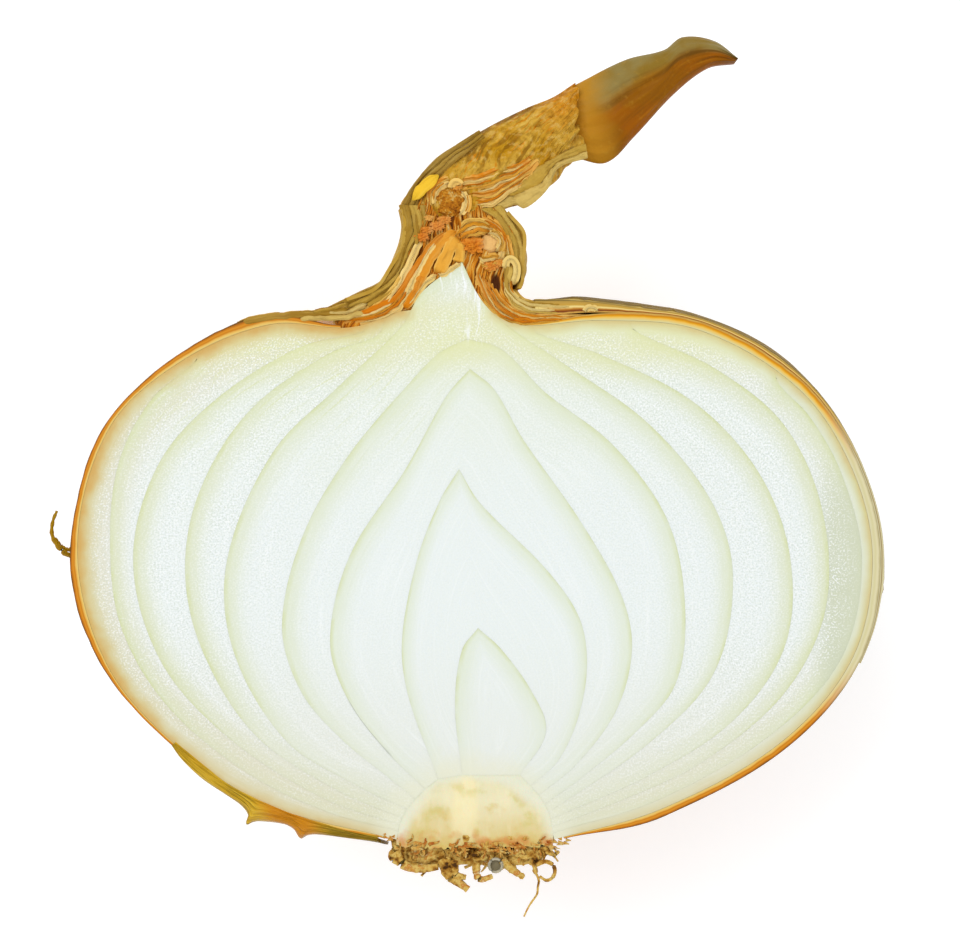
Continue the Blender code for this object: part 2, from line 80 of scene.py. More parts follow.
@dataclass(frozen=True)
class Signal:
    """An output socket that takes part in Python expressions."""

    shader: "Shader"
    socket: bpy.types.NodeSocket

    def _math(self, operation: str, *terms: Value) -> "Signal":
        """Adds a Math node over the terms."""
        inputs = dict(enumerate(terms))
        return self.shader.node("ShaderNodeMath", {"operation": operation}, inputs)

    def __add__(self, other: Value) -> "Signal":
        """Sum."""
        return self._math("ADD", self, other)

    def __radd__(self, other: Value) -> "Signal":
        """Sum, number first."""
        return self._math("ADD", other, self)

    def __sub__(self, other: Value) -> "Signal":
        """Difference."""
        return self._math("SUBTRACT", self, other)

    def __rsub__(self, other: Value) -> "Signal":
        """Difference, number first."""
        return self._math("SUBTRACT", other, self)

    def __mul__(self, other: Value) -> "Signal":
        """Product."""
        return self._math("MULTIPLY", self, other)

    def __rmul__(self, other: Value) -> "Signal":
        """Product, number first."""
        return self._math("MULTIPLY", other, self)

    def __truediv__(self, other: Value) -> "Signal":
        """Quotient."""
        return self._math("DIVIDE", self, other)

    def __pow__(self, other: Value) -> "Signal":
        """Power."""
        return self._math("POWER", self, other)

    def least(self, other: Value) -> "Signal":
        """The smaller of two."""
        return self._math("MINIMUM", self, other)

    def most(self, other: Value) -> "Signal":
        """The larger of two."""
        return self._math("MAXIMUM", self, other)

    def sine(self) -> "Signal":
        """Sine of the value in radians."""
        return self._math("SINE", self)

    def step(self, low: float, high: float) -> "Signal":
        """Rises smoothly from 0 at low to 1 at high.

        Args:
            low: where the rise starts.
            high: where it ends.

        Returns:
            The eased value.
        """
        settings = {"interpolation_type": "SMOOTHSTEP"}
        inputs = {"Value": self, "From Min": low, "From Max": high}
        return self.shader.node("ShaderNodeMapRange", settings, inputs)

    def fall(self, low: float, high: float) -> "Signal":
        """Falls smoothly from 1 at low to 0 at high."""
        return 1.0 - self.step(low, high)


def tone(red: int, green: int, blue: int) -> Tone:
    """Linear colour of a surface from how it looks on a screen in the studio's light.

    Args:
        red: red value, 0 to 255.
        green: green value.
        blue: blue value.

    Returns:
        The linear red, green and blue.
    """
    return tuple(((v / 255 + 0.055) / 1.055) ** 2.4 / LIGHT for v in (red, green, blue))


class Shader:
    """One material in the making, with its Principled shader."""

    def __init__(self, name: str, roughness: float, **constants: float) -> None:
        """Starts the material.

        Args:
            name: material name.
            roughness: roughness of the whole surface.
            **constants: other socket values, with _ for a blank.
        """
        self.material = bpy.data.materials.new(name)
        self.material.use_nodes = True
        self.tree = self.material.node_tree
        self.surface = self.tree.nodes["Principled BSDF"]
        self.surface.inputs["Roughness"].default_value = roughness
        for key, value in constants.items():
            self.surface.inputs[key.replace("_", " ")].default_value = value

    def node(
        self,
        kind: str,
        settings: Optional[dict] = None,
        inputs: Optional[dict] = None,
        out: Union[int, str] = 0,
    ) -> Signal:
        """Adds any node.

        Args:
            kind: the node's type.
            settings: its settings, or the stops of a ramp under "stops".
            inputs: values or signals by socket name or number.
            out: which output is wanted.

        Returns:
            The wanted output.
        """
        made = self.tree.nodes.new(kind)
        for key, value in (settings or {}).items():
            if key == "stops":
                self._stop(made.color_ramp, value)
            else:
                setattr(made, key, value)
        for key, value in (inputs or {}).items():
            if isinstance(value, Signal):
                self.tree.links.new(value.socket, made.inputs[key])
            else:
                made.inputs[key].default_value = value
        return Signal(self, made.outputs[out])

    @staticmethod
    def _stop(ramp: bpy.types.ColorRamp, stops: Sequence[tuple[float, Tone]]) -> None:
        """Sets a ramp's stops, the first two on the ones that it starts with."""
        for i, (place, colour) in enumerate(stops):
            stop = ramp.elements[i] if i < 2 else ramp.elements.new(place)
            stop.position = place
            stop.color = (*colour, 1.0)

    def place(self) -> Signal:
        """Object coordinates in metres."""
        return self.node("ShaderNodeTexCoord", out="Object")

    def flow(self) -> tuple[Signal, Signal, Signal]:
        """The piece's own flow attribute as three numbers."""
        found = self.node("ShaderNodeAttribute", {"attribute_name": FLOW}, out="Vector")
        return self.parts(found)

    def parts(self, vector: Signal) -> tuple[Signal, Signal, Signal]:
        """A vector's three numbers."""
        split = self.node("ShaderNodeSeparateXYZ", None, {0: vector})
        outputs = split.socket.node.outputs
        return tuple(Signal(self, outputs[i]) for i in range(3))

    def vector(self, x: Value, y: Value, z: Value) -> Signal:
        """A vector from three numbers."""
        return self.node("ShaderNodeCombineXYZ", None, {0: x, 1: y, 2: z})

    def cloud(self, where: Signal, scale: float, detail: float = 3.0) -> Signal:
        """Soft noise from 0 to 1.

        Args:
            where: coordinates.
            scale: how fine it is.
            detail: octaves.

        Returns:
            The noise value.
        """
        inputs = {"Vector": where, "Scale": scale, "Detail": detail}
        return self.node("ShaderNodeTexNoise", None, inputs)

    def cells(self, where: Signal, scale: float) -> Signal:
        """Distance to the nearest of scattered points, about 0 to 1."""
        return self.node("ShaderNodeTexVoronoi", None, {"Vector": where, "Scale": scale})

    def streaks(self, x: Value, y: Value, z: Value = 0.0, detail: float = 3.0) -> Signal:
        """Soft noise over three numbers that are scaled already."""
        return self.cloud(self.vector(x, y, z), 1.0, detail)

    def ramp(
        self, value: Signal, tones: Sequence[Tone], low: float = 0.0, high: float = 1.0,
    ) -> Signal:
        """Runs through tones as a value rises from low to high.

        Args:
            value: what picks the tone.
            tones: the tones in order.
            low: the first one's place.
            high: the last one's place.

        Returns:
            The tone.
        """
        last = len(tones) - 1
        stops = [(low + (high - low) * i / last, c) for i, c in enumerate(tones)]
        return self.node("ShaderNodeValToRGB", {"stops": stops}, {0: value})

    def blend(self, share: Value, first: Paint, second: Paint) -> Signal:
        """Mixes two colours.

        Args:
            share: how much of the second.
            first: the first colour.
            second: the second colour.

        Returns:
            The mixed colour.
        """
        settings = {"data_type": "RGBA", "clamp_result": True}
        given = [c if isinstance(c, Signal) else (*c, 1.0) for c in (first, second)]
        return self.node("ShaderNodeMix", settings, {0: share, 6: given[0], 7: given[1]}, 2)

    def coat(self, body: Paint, layers: Sequence[tuple[Value, Paint]]) -> Paint:
        """Lays colours over a body, each given as its share and itself."""
        for share, colour in layers:
            body = self.blend(share, body, colour)
        return body

    def finish(
        self, colour: Signal, height: Optional[Signal] = None, depth: float = 0.1,
    ) -> bpy.types.Material:
        """Links what varies over the surface.

        Args:
            colour: base colour.
            height: relief from 0 to 1.
            depth: how many millimetres the relief stands for.

        Returns:
            The finished material.
        """
        self.tree.links.new(colour.socket, self.surface.inputs["Base Color"])
        if height is not None:
            bump = self.node("ShaderNodeBump", None, {"Height": height, "Distance": depth * MM})
            self.tree.links.new(bump.socket, self.surface.inputs["Normal"])
        return self.material


# Finishes


class Slot(enum.Enum):
    """The record's material slots."""

    OUTER_FLESH = "outer_flesh"
    INNER_FLESH = "inner_flesh"
    PLATE = "plate_flesh"
    ROOT = "root_fibre"
    DRY_SKIN = "dry_skin"
    OLD_SKIN = "old_skin"
    YELLOW_SKIN = "yellow_skin"
    STRAW = "stalk_straw"
    TIP = "stalk_tip"


def plate_reach(x: Signal, y: Signal) -> Signal:
    """How far a place is from the root plate's middle: 1 at the plate's edge."""
    over = (x - 0.0004) / 0.0076
    up = (y + 0.0290) / 0.0068
    return (over * over + up * up) ** 0.5


@dataclass(frozen=True)
class FleshFinish:
    """Moist onion flesh: white and granular, with an olive band on each scale's outer side.

    age is 0 for the heart and 1 for the outermost scale. flow holds millimetres from the
    scale's outer side, millimetres along it, and millimetres from the bulb's skin.
    """

    name: str
    age: float
    damp: bool = False
    slit: bool = False
    pale: Tone = tone(236, 243, 241)
    white: Tone = tone(252, 255, 255)
    band: Tone = tone(220, 226, 188)
    fresh_band: Tone = tone(224, 233, 208)
    line: Tone = tone(212, 220, 150)
    green: Tone = tone(225, 231, 194)
    neck: Tone = tone(229, 231, 168)
    cream: Tone = tone(224, 218, 190)
    tan: Tone = tone(214, 188, 112)
    wet: Tone = tone(208, 214, 186)
    plate: Tone = tone(234, 234, 208)

    def material(self) -> bpy.types.Material:
        """Builds the material."""
        sh = Shader(self.name, 0.36, Subsurface_Weight=0.1, Subsurface_Scale=0.001)
        sh.surface.inputs["Subsurface Radius"].default_value = (1.0, 0.9, 0.7)
        place = sh.place()
        x, y, _ = sh.parts(place)
        across, along, rind = sh.flow()
        drift = sh.cloud(place, 160.0, 2.0)
        patch = sh.cloud(place, 420.0, 3.0)
        streak = sh.streaks(across * 2.2, along * 0.11, detail=4.0)
        stripes = sh.streaks(across * 3.6, along * 0.16, 5.0)
        rays = sh.streaks((x + drift * 0.0020) * 2900.0, y * 210.0)
        grain = sh.cloud(place, 5600.0, 2.0)
        fleck = sh.cells(place, 330.0) + (1.0 - drift) * 0.3
        ragged = across + (streak - 0.5) * 0.6 + (patch - 0.5) * 0.3
        high = y.step(0.0, 0.022)
        low = (-0.004 - y).step(0.0, 0.022)
        base = (-0.012 - y).step(0.0, 0.010)
        left = 1.0 - x.step(-0.016, 0.010) * 0.7
        fresh = (0.05 + drift * 0.6) * (1.0 - x.step(-0.002, 0.020) * 0.45)
        olive = ragged.fall(-0.3, 2.9) * (1.0 - base * 0.55)
        olive_depth = 0.6 + 0.15 * min(1.0, self.age * 3.0) + drift * 0.45
        tint = ragged.fall(-0.1, 0.6) * (0.1 + 0.6 * patch.step(0.35, 0.65))
        upper_left = y.step(0.006, 0.020) * x.fall(-0.012, 0.004)
        top = y.step(0.0160, 0.0215) * y.fall(0.0235, 0.0275)
        off_axis = (x + 0.0008).most(-0.0008 - x)
        wedge = y.step(0.0205, 0.0225) * off_axis.fall(0.0018, 0.0036)
        wide = 0.9 + 0.9 * x.fall(-0.020, 0.010) * (1.0 - base * 0.5)
        near = rind / wide + (patch - 0.5) * 0.9
        shade = near.fall(0.0, 1.2) * (0.4 + 0.5 * left) * (1.0 - base * 0.35)
        gold = near.fall(-0.1, 0.5) * left * (1.0 - base * 0.6)
        crown = plate_reach(x, y) + (patch - 0.5) * 0.4
        strength = min(1.0, 0.1 + self.age * 2.4) * (1.0 - base * 0.5)
        rough = (1.0 - olive * 0.8) * rind.step(0.6, 1.8) * (0.25 + patch) * strength
        layers = [
            (high * fresh, self.green),
            (low * (0.25 + 0.65 * self.age), self.cream),
            (rind.fall(0.4, 6.5) * left, self.cream),
            (streak.step(0.5, 0.78) * 0.35, self.white),
            (olive * olive_depth,
             sh.blend(min(1.0, self.age * 2.2), self.fresh_band, self.band)),
            (tint * (1.0 - base * 0.8), self.line),
            (stripes.step(0.54, 0.7) * upper_left * 0.5, tone(214, 222, 140)),
            (top * (0.3 + drift * 0.6), self.neck),
            (wedge * rays.step(0.5, 0.68) * patch.step(0.3, 0.6), self.white),
        ]
        if self.damp:
            side = x.step(0.0335, 0.0365) * y.fall(0.003, 0.012)
            layers.append((side * (0.65 + drift * 0.5), self.wet))
        layers += [
            (shade, self.tan),
            (gold * 0.7, tone(212, 156, 52)),
            (crown.fall(1.0, 1.5) * 0.85, self.plate),
            (grain.step(0.5, 0.66) * rough * 1.1, self.white),
            (grain.fall(0.34, 0.5) * rough * 0.7, tone(208, 218, 206)),
            (fleck.fall(0.10, 0.2) * 0.45 * high, tone(200, 212, 100)),
        ]
        if self.slit:
            # painted shade: a grey line along the scales' seam where they part in an open slit
            slit_shade = ragged.fall(0.05, 0.22) * x.fall(-0.0038, -0.0030)
            slit_shade = slit_shade * y.step(-0.0208, -0.0196) * y.fall(-0.0152, -0.0140)
            layers.append((slit_shade * 0.8, tone(190, 196, 182)))
        return sh.finish(sh.coat(self.pale, layers), grain * rough + streak * 0.6, 0.06)


@dataclass(frozen=True)
class PlateFinish:
    """The firm yellowish root plate with its brighter middle and olive spots."""

    name: str
    base: Tone = tone(238, 230, 188)
    soft: Tone = tone(234, 234, 208)
    bright: Tone = tone(250, 237, 184)
    ochre: Tone = tone(218, 188, 92)
    spot: Tone = tone(212, 202, 116)

    def material(self) -> bpy.types.Material:
        """Builds the material."""
        sh = Shader(self.name, 0.45, Subsurface_Weight=0.1, Subsurface_Scale=0.001)
        place = sh.place()
        x, y, _ = sh.parts(place)
        drift = sh.cloud(place, 320.0, 3.0)
        blot = sh.cloud(place, 640.0, 4.0)
        fibre = sh.streaks(x * 900.0, y * 260.0, detail=4.0)
        spots = sh.cells(place, 330.0)
        crown = plate_reach(x, y) + (drift - 0.5) * 0.35
        low = (-0.0235 - y + (drift - 0.5) * 0.004).step(0.0, 0.0065)
        swayed = x + drift * 0.001
        strip = swayed.step(-0.0018, -0.0009) * swayed.fall(0.0007, 0.0015)
        edge = crown.step(0.62, 0.8) * crown.fall(0.84, 1.0)
        foot = (-0.0276 - y + (blot - 0.5) * 0.003).step(0.0, 0.0016)
        patches = blot.step(0.42, 0.6)
        body = sh.coat(self.base, (
            (low * 0.85, self.ochre),
            (blot.step(0.5, 0.72) * 0.6, self.ochre),
            (strip * (0.8 - (-0.0255 - y).step(0.0, 0.004) * 0.5), self.bright),
            (edge * patches * 0.45, self.spot),
            (spots.fall(0.06, 0.2) * 0.5, self.spot),
            (fibre.step(0.5, 0.74) * 0.35, tone(252, 242, 200)),
            (crown.step(0.84, 1.06), self.soft),
            (foot * 0.9, sh.blend(patches, self.ochre, tone(214, 140, 50))),
        ))
        return sh.finish(body, fibre + drift, 0.2)


@dataclass(frozen=True)
class SkinFinish:
    """Dry onion skin: papery, with veins that run from pole to pole.

    flow holds turns across the veins, millimetres along them, and the share of the wall
    from its outer to its inner side. rim holds the tones of the cut edge, outermost first,
    shoulder_rim those at the right shoulder and side_rim those at the right side.
    """

    name: str
    deep: Tone
    middle: Tone
    light: Tone
    rim: tuple[Tone, ...]
    shoulder_rim: tuple[Tone, ...] = ()
    side_rim: tuple[Tone, ...] = ()
    veins: float = 60.0
    roughness: float = 0.42
    gloss: float = 0.1

    def material(self) -> bpy.types.Material:
        """Builds the material."""
        sh = Shader(self.name, self.roughness, Specular_IOR_Level=self.gloss)
        place = sh.place()
        x, y, z = sh.parts(place)
        turn, along, across = sh.flow()
        drift = sh.cloud(place, 90.0, 3.0)
        mottle = sh.cloud(place, 620.0, 4.0)
        patch = sh.streaks(turn * 9.0, along * 0.035, detail=4.0)
        wobble = sh.streaks(turn * 12.0, along * 0.05, 4.0, 2.0)
        fine = sh.streaks(turn * 210.0, along * 0.09)
        wave = (turn * self.veins * 6.2832 + wobble * 9.0).sine()
        vein = ((wave * 0.5) + 0.5) ** 7.0
        edge = across + (mottle - 0.5) * 0.3 + (drift - 0.5) * 0.25
        top = x.step(-0.003, 0.004) * y.step(0.004, 0.012)
        side = x.step(0.030, 0.036) * y.step(-0.017, -0.010) * y.fall(0.008, 0.016)
        torn = sh.ramp(edge, self.rim, 0.03, 0.97)
        for share, tones in ((top, self.shoulder_rim), (side, self.side_rim)):
            if tones:
                torn = sh.blend(share, torn, sh.ramp(edge, tones, 0.03, 0.97))
        paper = (self.deep, self.middle, self.light)
        body = sh.coat(sh.ramp(patch * 0.7 + drift * 0.3, paper, 0.28, 0.72), (
            (vein * 0.5, self.deep),
            (fine.step(0.5, 0.8) * 0.35, self.light),
            (z.step(CUT * MM - 0.00045, CUT * MM - 0.00015), torn),
        ))
        return sh.finish(body, vein * 0.6 + fine * 0.5 + patch * 0.8, 0.16)


@dataclass(frozen=True)
class FlapFinish:
    """The torn yellow skin: glossy, ridged along its length, orange towards its right end.

    flow holds the share from its hinge to its foot and millimetres along it.
    """

    name: str
    yellow: Tone = tone(214, 168, 30)
    light: Tone = tone(238, 200, 66)
    orange: Tone = tone(214, 132, 8)
    olive: Tone = tone(138, 112, 24)

    def material(self) -> bpy.types.Material:
        """Builds the material."""
        sh = Shader(self.name, 0.3, Specular_IOR_Level=0.16)
        place = sh.place()
        x, _, _ = sh.parts(place)
        across, along, _ = sh.flow()
        drift = sh.cloud(place, 260.0, 3.0)
        ridge = sh.streaks(across * 22.0, along * 0.16)
        warm = (x + (drift - 0.5) * 0.006).step(-0.0225, -0.0185)
        body = sh.coat(self.yellow, (
            (ridge.step(0.46, 0.62) * 0.8, self.light),
            (ridge.fall(0.34, 0.47) * 0.7, self.olive),
            (warm * x.fall(-0.0165, -0.0135) * 0.85, self.orange),
            (x.step(-0.0165, -0.0125) * 0.6, self.olive),
            (across.step(0.36, 0.42) * 0.8, self.olive),
        ))
        return sh.finish(body, ridge + drift * 0.3, 0.5)


@dataclass(frozen=True)
class LeafFinish:
    """Dried leaf tissue in layers, each in a colour of its own.

    flow holds the share across the strip, millimetres along it, and the layer. edge_highlight
    is how strongly a painted highlight lightens the strip's two edges, shade how much painted
    shade darkens its creases and blotches, and bloom how pale its fibres are.
    """

    name: str
    tones: tuple[Tone, ...]
    # dark is the tone of the painted shade
    dark: Tone = tone(122, 70, 14)
    pale: Tone = tone(246, 222, 150)
    roughness: float = 0.5
    edge_highlight: float = 0.0
    shade: float = 0.45
    bloom: float = 0.16

    def material(self) -> bpy.types.Material:
        """Builds the material."""
        sh = Shader(self.name, self.roughness, Specular_IOR_Level=0.08)
        place = sh.place()
        across, along, layer = sh.flow()
        fibre = sh.streaks(across * 3.2, along * 0.3, layer * 40.0, 4.0)
        drift = sh.cloud(place, 520.0, 4.0)
        broad = sh.cloud(place, 150.0, 2.0)
        rim = across.least(1.0 - across).fall(0.02, 0.16)
        body = sh.coat(sh.ramp(layer, self.tones), (
            (broad.step(0.44, 0.62) * self.bloom, self.pale),
            (fibre.step(0.48, 0.74) * (0.1 + self.bloom), self.pale),
            # painted shade: darker in the creases between the fibres and in broad patches
            (fibre.fall(0.26, 0.46) * self.shade, self.dark),
            (drift.step(0.54, 0.76) * self.shade * 0.7, self.dark),
            # painted highlight: the strip's two edges lightened towards the pale tone
            (rim * self.edge_highlight * drift.step(0.34, 0.5), self.pale),
        ))
        return sh.finish(body, fibre + drift * 0.6, 0.25)


@dataclass(frozen=True)
class CoreFinish:
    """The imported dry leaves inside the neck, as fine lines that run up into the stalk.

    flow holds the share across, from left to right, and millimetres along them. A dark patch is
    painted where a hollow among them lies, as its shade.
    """

    name: str
    tones: tuple[Tone, ...] = (
        tone(96, 46, 8), tone(170, 96, 18), tone(224, 136, 24), tone(236, 168, 56),
        tone(248, 208, 124),
    )
    # the tone of the painted shade in the hollow
    hollow: Tone = tone(84, 42, 10)

    def material(self) -> bpy.types.Material:
        """Builds the material."""
        sh = Shader(self.name, 0.5, Specular_IOR_Level=0.08)
        place = sh.place()
        x, y, _ = sh.parts(place)
        across, along, _ = sh.flow()
        drift = sh.cloud(place, 300.0, 3.0)
        wave = across + (drift - 0.5) * 0.13
        lines = sh.streaks(wave * 52.0, along * 0.3, detail=4.0)
        # painted shade: a dark patch over the hollow between the leaves
        aside = (x - 0.00257) / 0.00050
        above = (y - 0.0270) / 0.0012
        hollow_shade = (aside * aside + above * above + (drift - 0.5)).fall(0.6, 1.4)
        body = sh.blend(hollow_shade, sh.ramp(lines, self.tones, 0.36, 0.64), self.hollow)
        return sh.finish(body, lines + drift * 0.3, 0.5)


@dataclass(frozen=True)
class StalkFinish:
    """The dried stalk: golden brown, with slanting creases and orange and dark dashes.

    flow holds the share across it, 1 along its upper side, and millimetres along it.
    """

    name: str
    base: Tone = tone(202, 146, 24)
    light: Tone = tone(220, 174, 66)
    orange: Tone = tone(222, 138, 14)
    dark: Tone = tone(144, 98, 20)
    deep: Tone = tone(92, 50, 12)

    def material(self) -> bpy.types.Material:
        """Builds the material."""
        sh = Shader(self.name, 0.5, Specular_IOR_Level=0.03)
        place = sh.place()
        across, along, _ = sh.flow()
        drift = sh.cloud(place, 240.0, 3.0)
        slant = across * 9.0 - along * 0.3 + drift * 2.2
        crease = sh.streaks(slant * 2.0, along * 0.25, detail=6.0)
        dashes = sh.streaks(slant * 3.4, along * 0.45, 7.0)
        fine = sh.cloud(place, 1500.0, 4.0)
        end = (along + drift * 3.0 - 1.5).step(17.0, 22.0)
        body = sh.coat(self.base, (
            (drift.step(0.38, 0.62), self.light),
            (crease.step(0.5, 0.66) * 0.75, self.light),
            (crease.fall(0.36, 0.5) * 0.75, self.dark),
            (dashes.step(0.56, 0.64) * drift.step(0.36, 0.56) * 0.85, self.orange),
            (dashes.fall(0.28, 0.36) * 0.5, self.deep),
            (across.step(0.86, 0.99) * drift.step(0.4, 0.56) * 0.7, self.deep),
            (end * 0.6, sh.blend(across.step(0.3, 0.8), self.light, self.orange)),
            (fine.step(0.5, 0.66) * 0.4, self.dark),
            (fine.fall(0.36, 0.48) * 0.35, tone(240, 206, 120)),
        ))
        return sh.finish(body, crease + fine * 0.5 + dashes * 0.4, 0.5)


@dataclass(frozen=True)
class TipFinish:
    """The smooth leaf at the stalk's end: orange-brown, olive-grey along its top."""

    name: str
    brown: Tone = tone(144, 88, 2)
    orange: Tone = tone(156, 88, 2)
    olive: Tone = tone(142, 114, 40)
    grey: Tone = tone(146, 132, 76)
    dark: Tone = tone(104, 66, 8)

    def material(self) -> bpy.types.Material:
        """Builds the material."""
        sh = Shader(self.name, 0.38, Specular_IOR_Level=0.05)
        place = sh.place()
        across, along, _ = sh.flow()
        streak = sh.streaks(across * 8.0, along * 0.09, detail=4.0)
        drift = sh.cloud(place, 190.0, 3.0)
        fine = sh.cloud(place, 1600.0, 3.0)
        band = (across + drift * 0.35 - 0.1).step(0.56, 0.82)
        line = across.step(0.48, 0.60) * across.fall(0.62, 0.76)
        start = (along + drift * 3.0 + streak * 2.0).fall(3.4, 7.6)
        body = sh.coat(self.brown, (
            (drift.step(0.4, 0.6), self.orange),
            (streak.fall(0.3, 0.5) * 0.5, self.dark),
            (streak.step(0.52, 0.7) * 0.35, tone(190, 128, 26)),
            (band * 0.9, sh.blend(drift.step(0.42, 0.62), self.olive, self.grey)),
            (line * streak.fall(0.4, 0.6) * 0.8, self.dark),
            (along.step(15.5, 19.5) * 0.55, self.dark),
            (start * 0.85, tone(196, 138, 34)),
            (fine.step(0.55, 0.8) * 0.2, tone(196, 150, 50)),
        ))
        return sh.finish(body, streak * 0.8 + fine * 0.3, 0.25)


@dataclass(frozen=True)
class ClumpFinish:
    """Crumbly dried tissue, mottled in the given tones from dark to pale."""

    name: str
    tones: tuple[Tone, ...]
    size: float = 420.0

    def material(self) -> bpy.types.Material:
        """Builds the material."""
        sh = Shader(self.name, 0.7, Specular_IOR_Level=0.1)
        place = sh.place()
        drift = sh.cloud(place, self.size, 4.0)
        fine = sh.cloud(place, self.size * 4.0, 4.0)
        body = sh.ramp(drift * 0.6 + fine * 0.4, self.tones, 0.34, 0.66)
        return sh.finish(body, fine + drift, 0.5)


@dataclass(frozen=True)
class FloorFinish:
    """The plain pale floor."""

    name: str = "plain_floor"

    def material(self) -> bpy.types.Material:
        """Builds the material."""
        sh = Shader(self.name, 0.9, Specular_IOR_Level=0.1, Emission_Strength=0.21)
        sh.surface.inputs["Emission Color"].default_value = (1.0, 1.0, 1.0, 1.0)
        mottle = sh.cloud(sh.place(), 40.0, 2.0)
        return sh.finish(sh.blend(mottle * 0.3, (0.90, 0.92, 0.94), (0.88, 0.90, 0.92)))


# Outlines


@dataclass(frozen=True)
class Outline:
    """A smooth path on the cut face through its knots."""

    knots: tuple[Point, ...]

    def points(self, count: int) -> Line:
        """Evenly spaced points along the path.

        Args:
            count: how many points.

        Returns:
            The points, in the order of the knots.
        """
        knots = [Vector(knot) for knot in self.knots]
        last = len(knots) - 1
        ways = [(knots[min(i + 1, last)] - knots[max(i - 1, 0)]).normalized()
                for i in range(last + 1)]
        fine = [knots[0]]
        for i in range(last):
            reach = (knots[i + 1] - knots[i]).length / 3
            ahead = knots[i] + ways[i] * reach
            behind = knots[i + 1] - ways[i + 1] * reach
            fine += interpolate_bezier(knots[i], ahead, behind, knots[i + 1], 16)[1:]
        return spaced(fine, count)


def spaced(points: Line, count: int) -> Line:
    """The same path as count points, all as far apart along it.

    Args:
        points: the path.
        count: how many points are wanted.

    Returns:
        The evenly spaced points.
    """
    lengths = length_to(points)
    found = []
    piece = 0
    for i in range(count):
        wanted = lengths[-1] * i / (count - 1)
        while piece < len(points) - 2 and lengths[piece + 1] < wanted:
            piece += 1
        span = lengths[piece + 1] - lengths[piece] or 1.0
        found.append(points[piece].lerp(points[piece + 1], (wanted - lengths[piece]) / span))
    return found


def moved_out(line: Line, distance: float, outward_x: int) -> Line:
    """A line moved square to itself.

    Args:
        line: the line.
        distance: how far, in millimetres.
        outward_x: 1 or -1, the side that it moves to.

    Returns:
        The moved line.
    """
    last = len(line) - 1
    moved = []
    for i, point in enumerate(line):
        way = line[min(i + 1, last)] - line[max(i - 1, 0)]
        moved.append(point + Vector((-way.y, way.x)).normalized() * outward_x * distance)
    return moved


def stretch_of(line: Line, first_x: float, last_x: float) -> Line:
    """The upper stretch of a line between two values of x, in that order."""
    low, high = sorted((first_x, last_x))
    found = [point for point in line if low <= point.x <= high and point.y > 0]
    if abs(found[0].x - first_x) > abs(found[-1].x - first_x):
        found.reverse()
    return found


def length_to(line: Line) -> list[float]:
    """How far along the line each of its points lies."""
    lengths = [0.0]
    for first, second in zip(line, line[1:]):
        lengths.append(lengths[-1] + (second - first).length)
    return lengths


def nearest_on(line: Line, other: Line) -> Line:
    """For each point of one line, the nearest point of another."""
    return [min(other, key=lambda found: (found - point).length_squared) for point in line]


def half_turn(left: Vector, right: Vector, angle: float, deepest: float = CUT) -> Vector:
    """A point on the half circle from the right outline round the back to the left.

    Args:
        left: the level's point on the left outline.
        right: its point on the right outline.
        angle: 0 at the right, pi at the left.
        deepest: how far below the cut face the surface is pressed flat.

    Returns:
        The point, in millimetres.
    """
    radius = (right.x - left.x) / 2
    share = (1 - math.cos(angle)) / 2
    x = (left.x + right.x) / 2 + radius * math.cos(angle)
    y = right.y + (left.y - right.y) * share
    return Vector((x, y, CUT - min(radius * math.sin(angle), deepest)))


def ease(value: float, low: float, high: float) -> float:
    """Rises smoothly from 0 at low to 1 at high."""
    share = min(1.0, max(0.0, (value - low) / (high - low)))
    return share * share * (3 - 2 * share)


def domed(share: float) -> float:
    """The height of a half circle of height 1, so much of the way across it."""
    return math.sqrt(max(0.0, 1 - (2 * share - 1) ** 2))


def wrinkle(x: float, y: float, z: float = 0.0) -> float:
    """Smooth noise from about -1 to 1."""
    return noise.noise(Vector((x, y, z)))


# Modelling


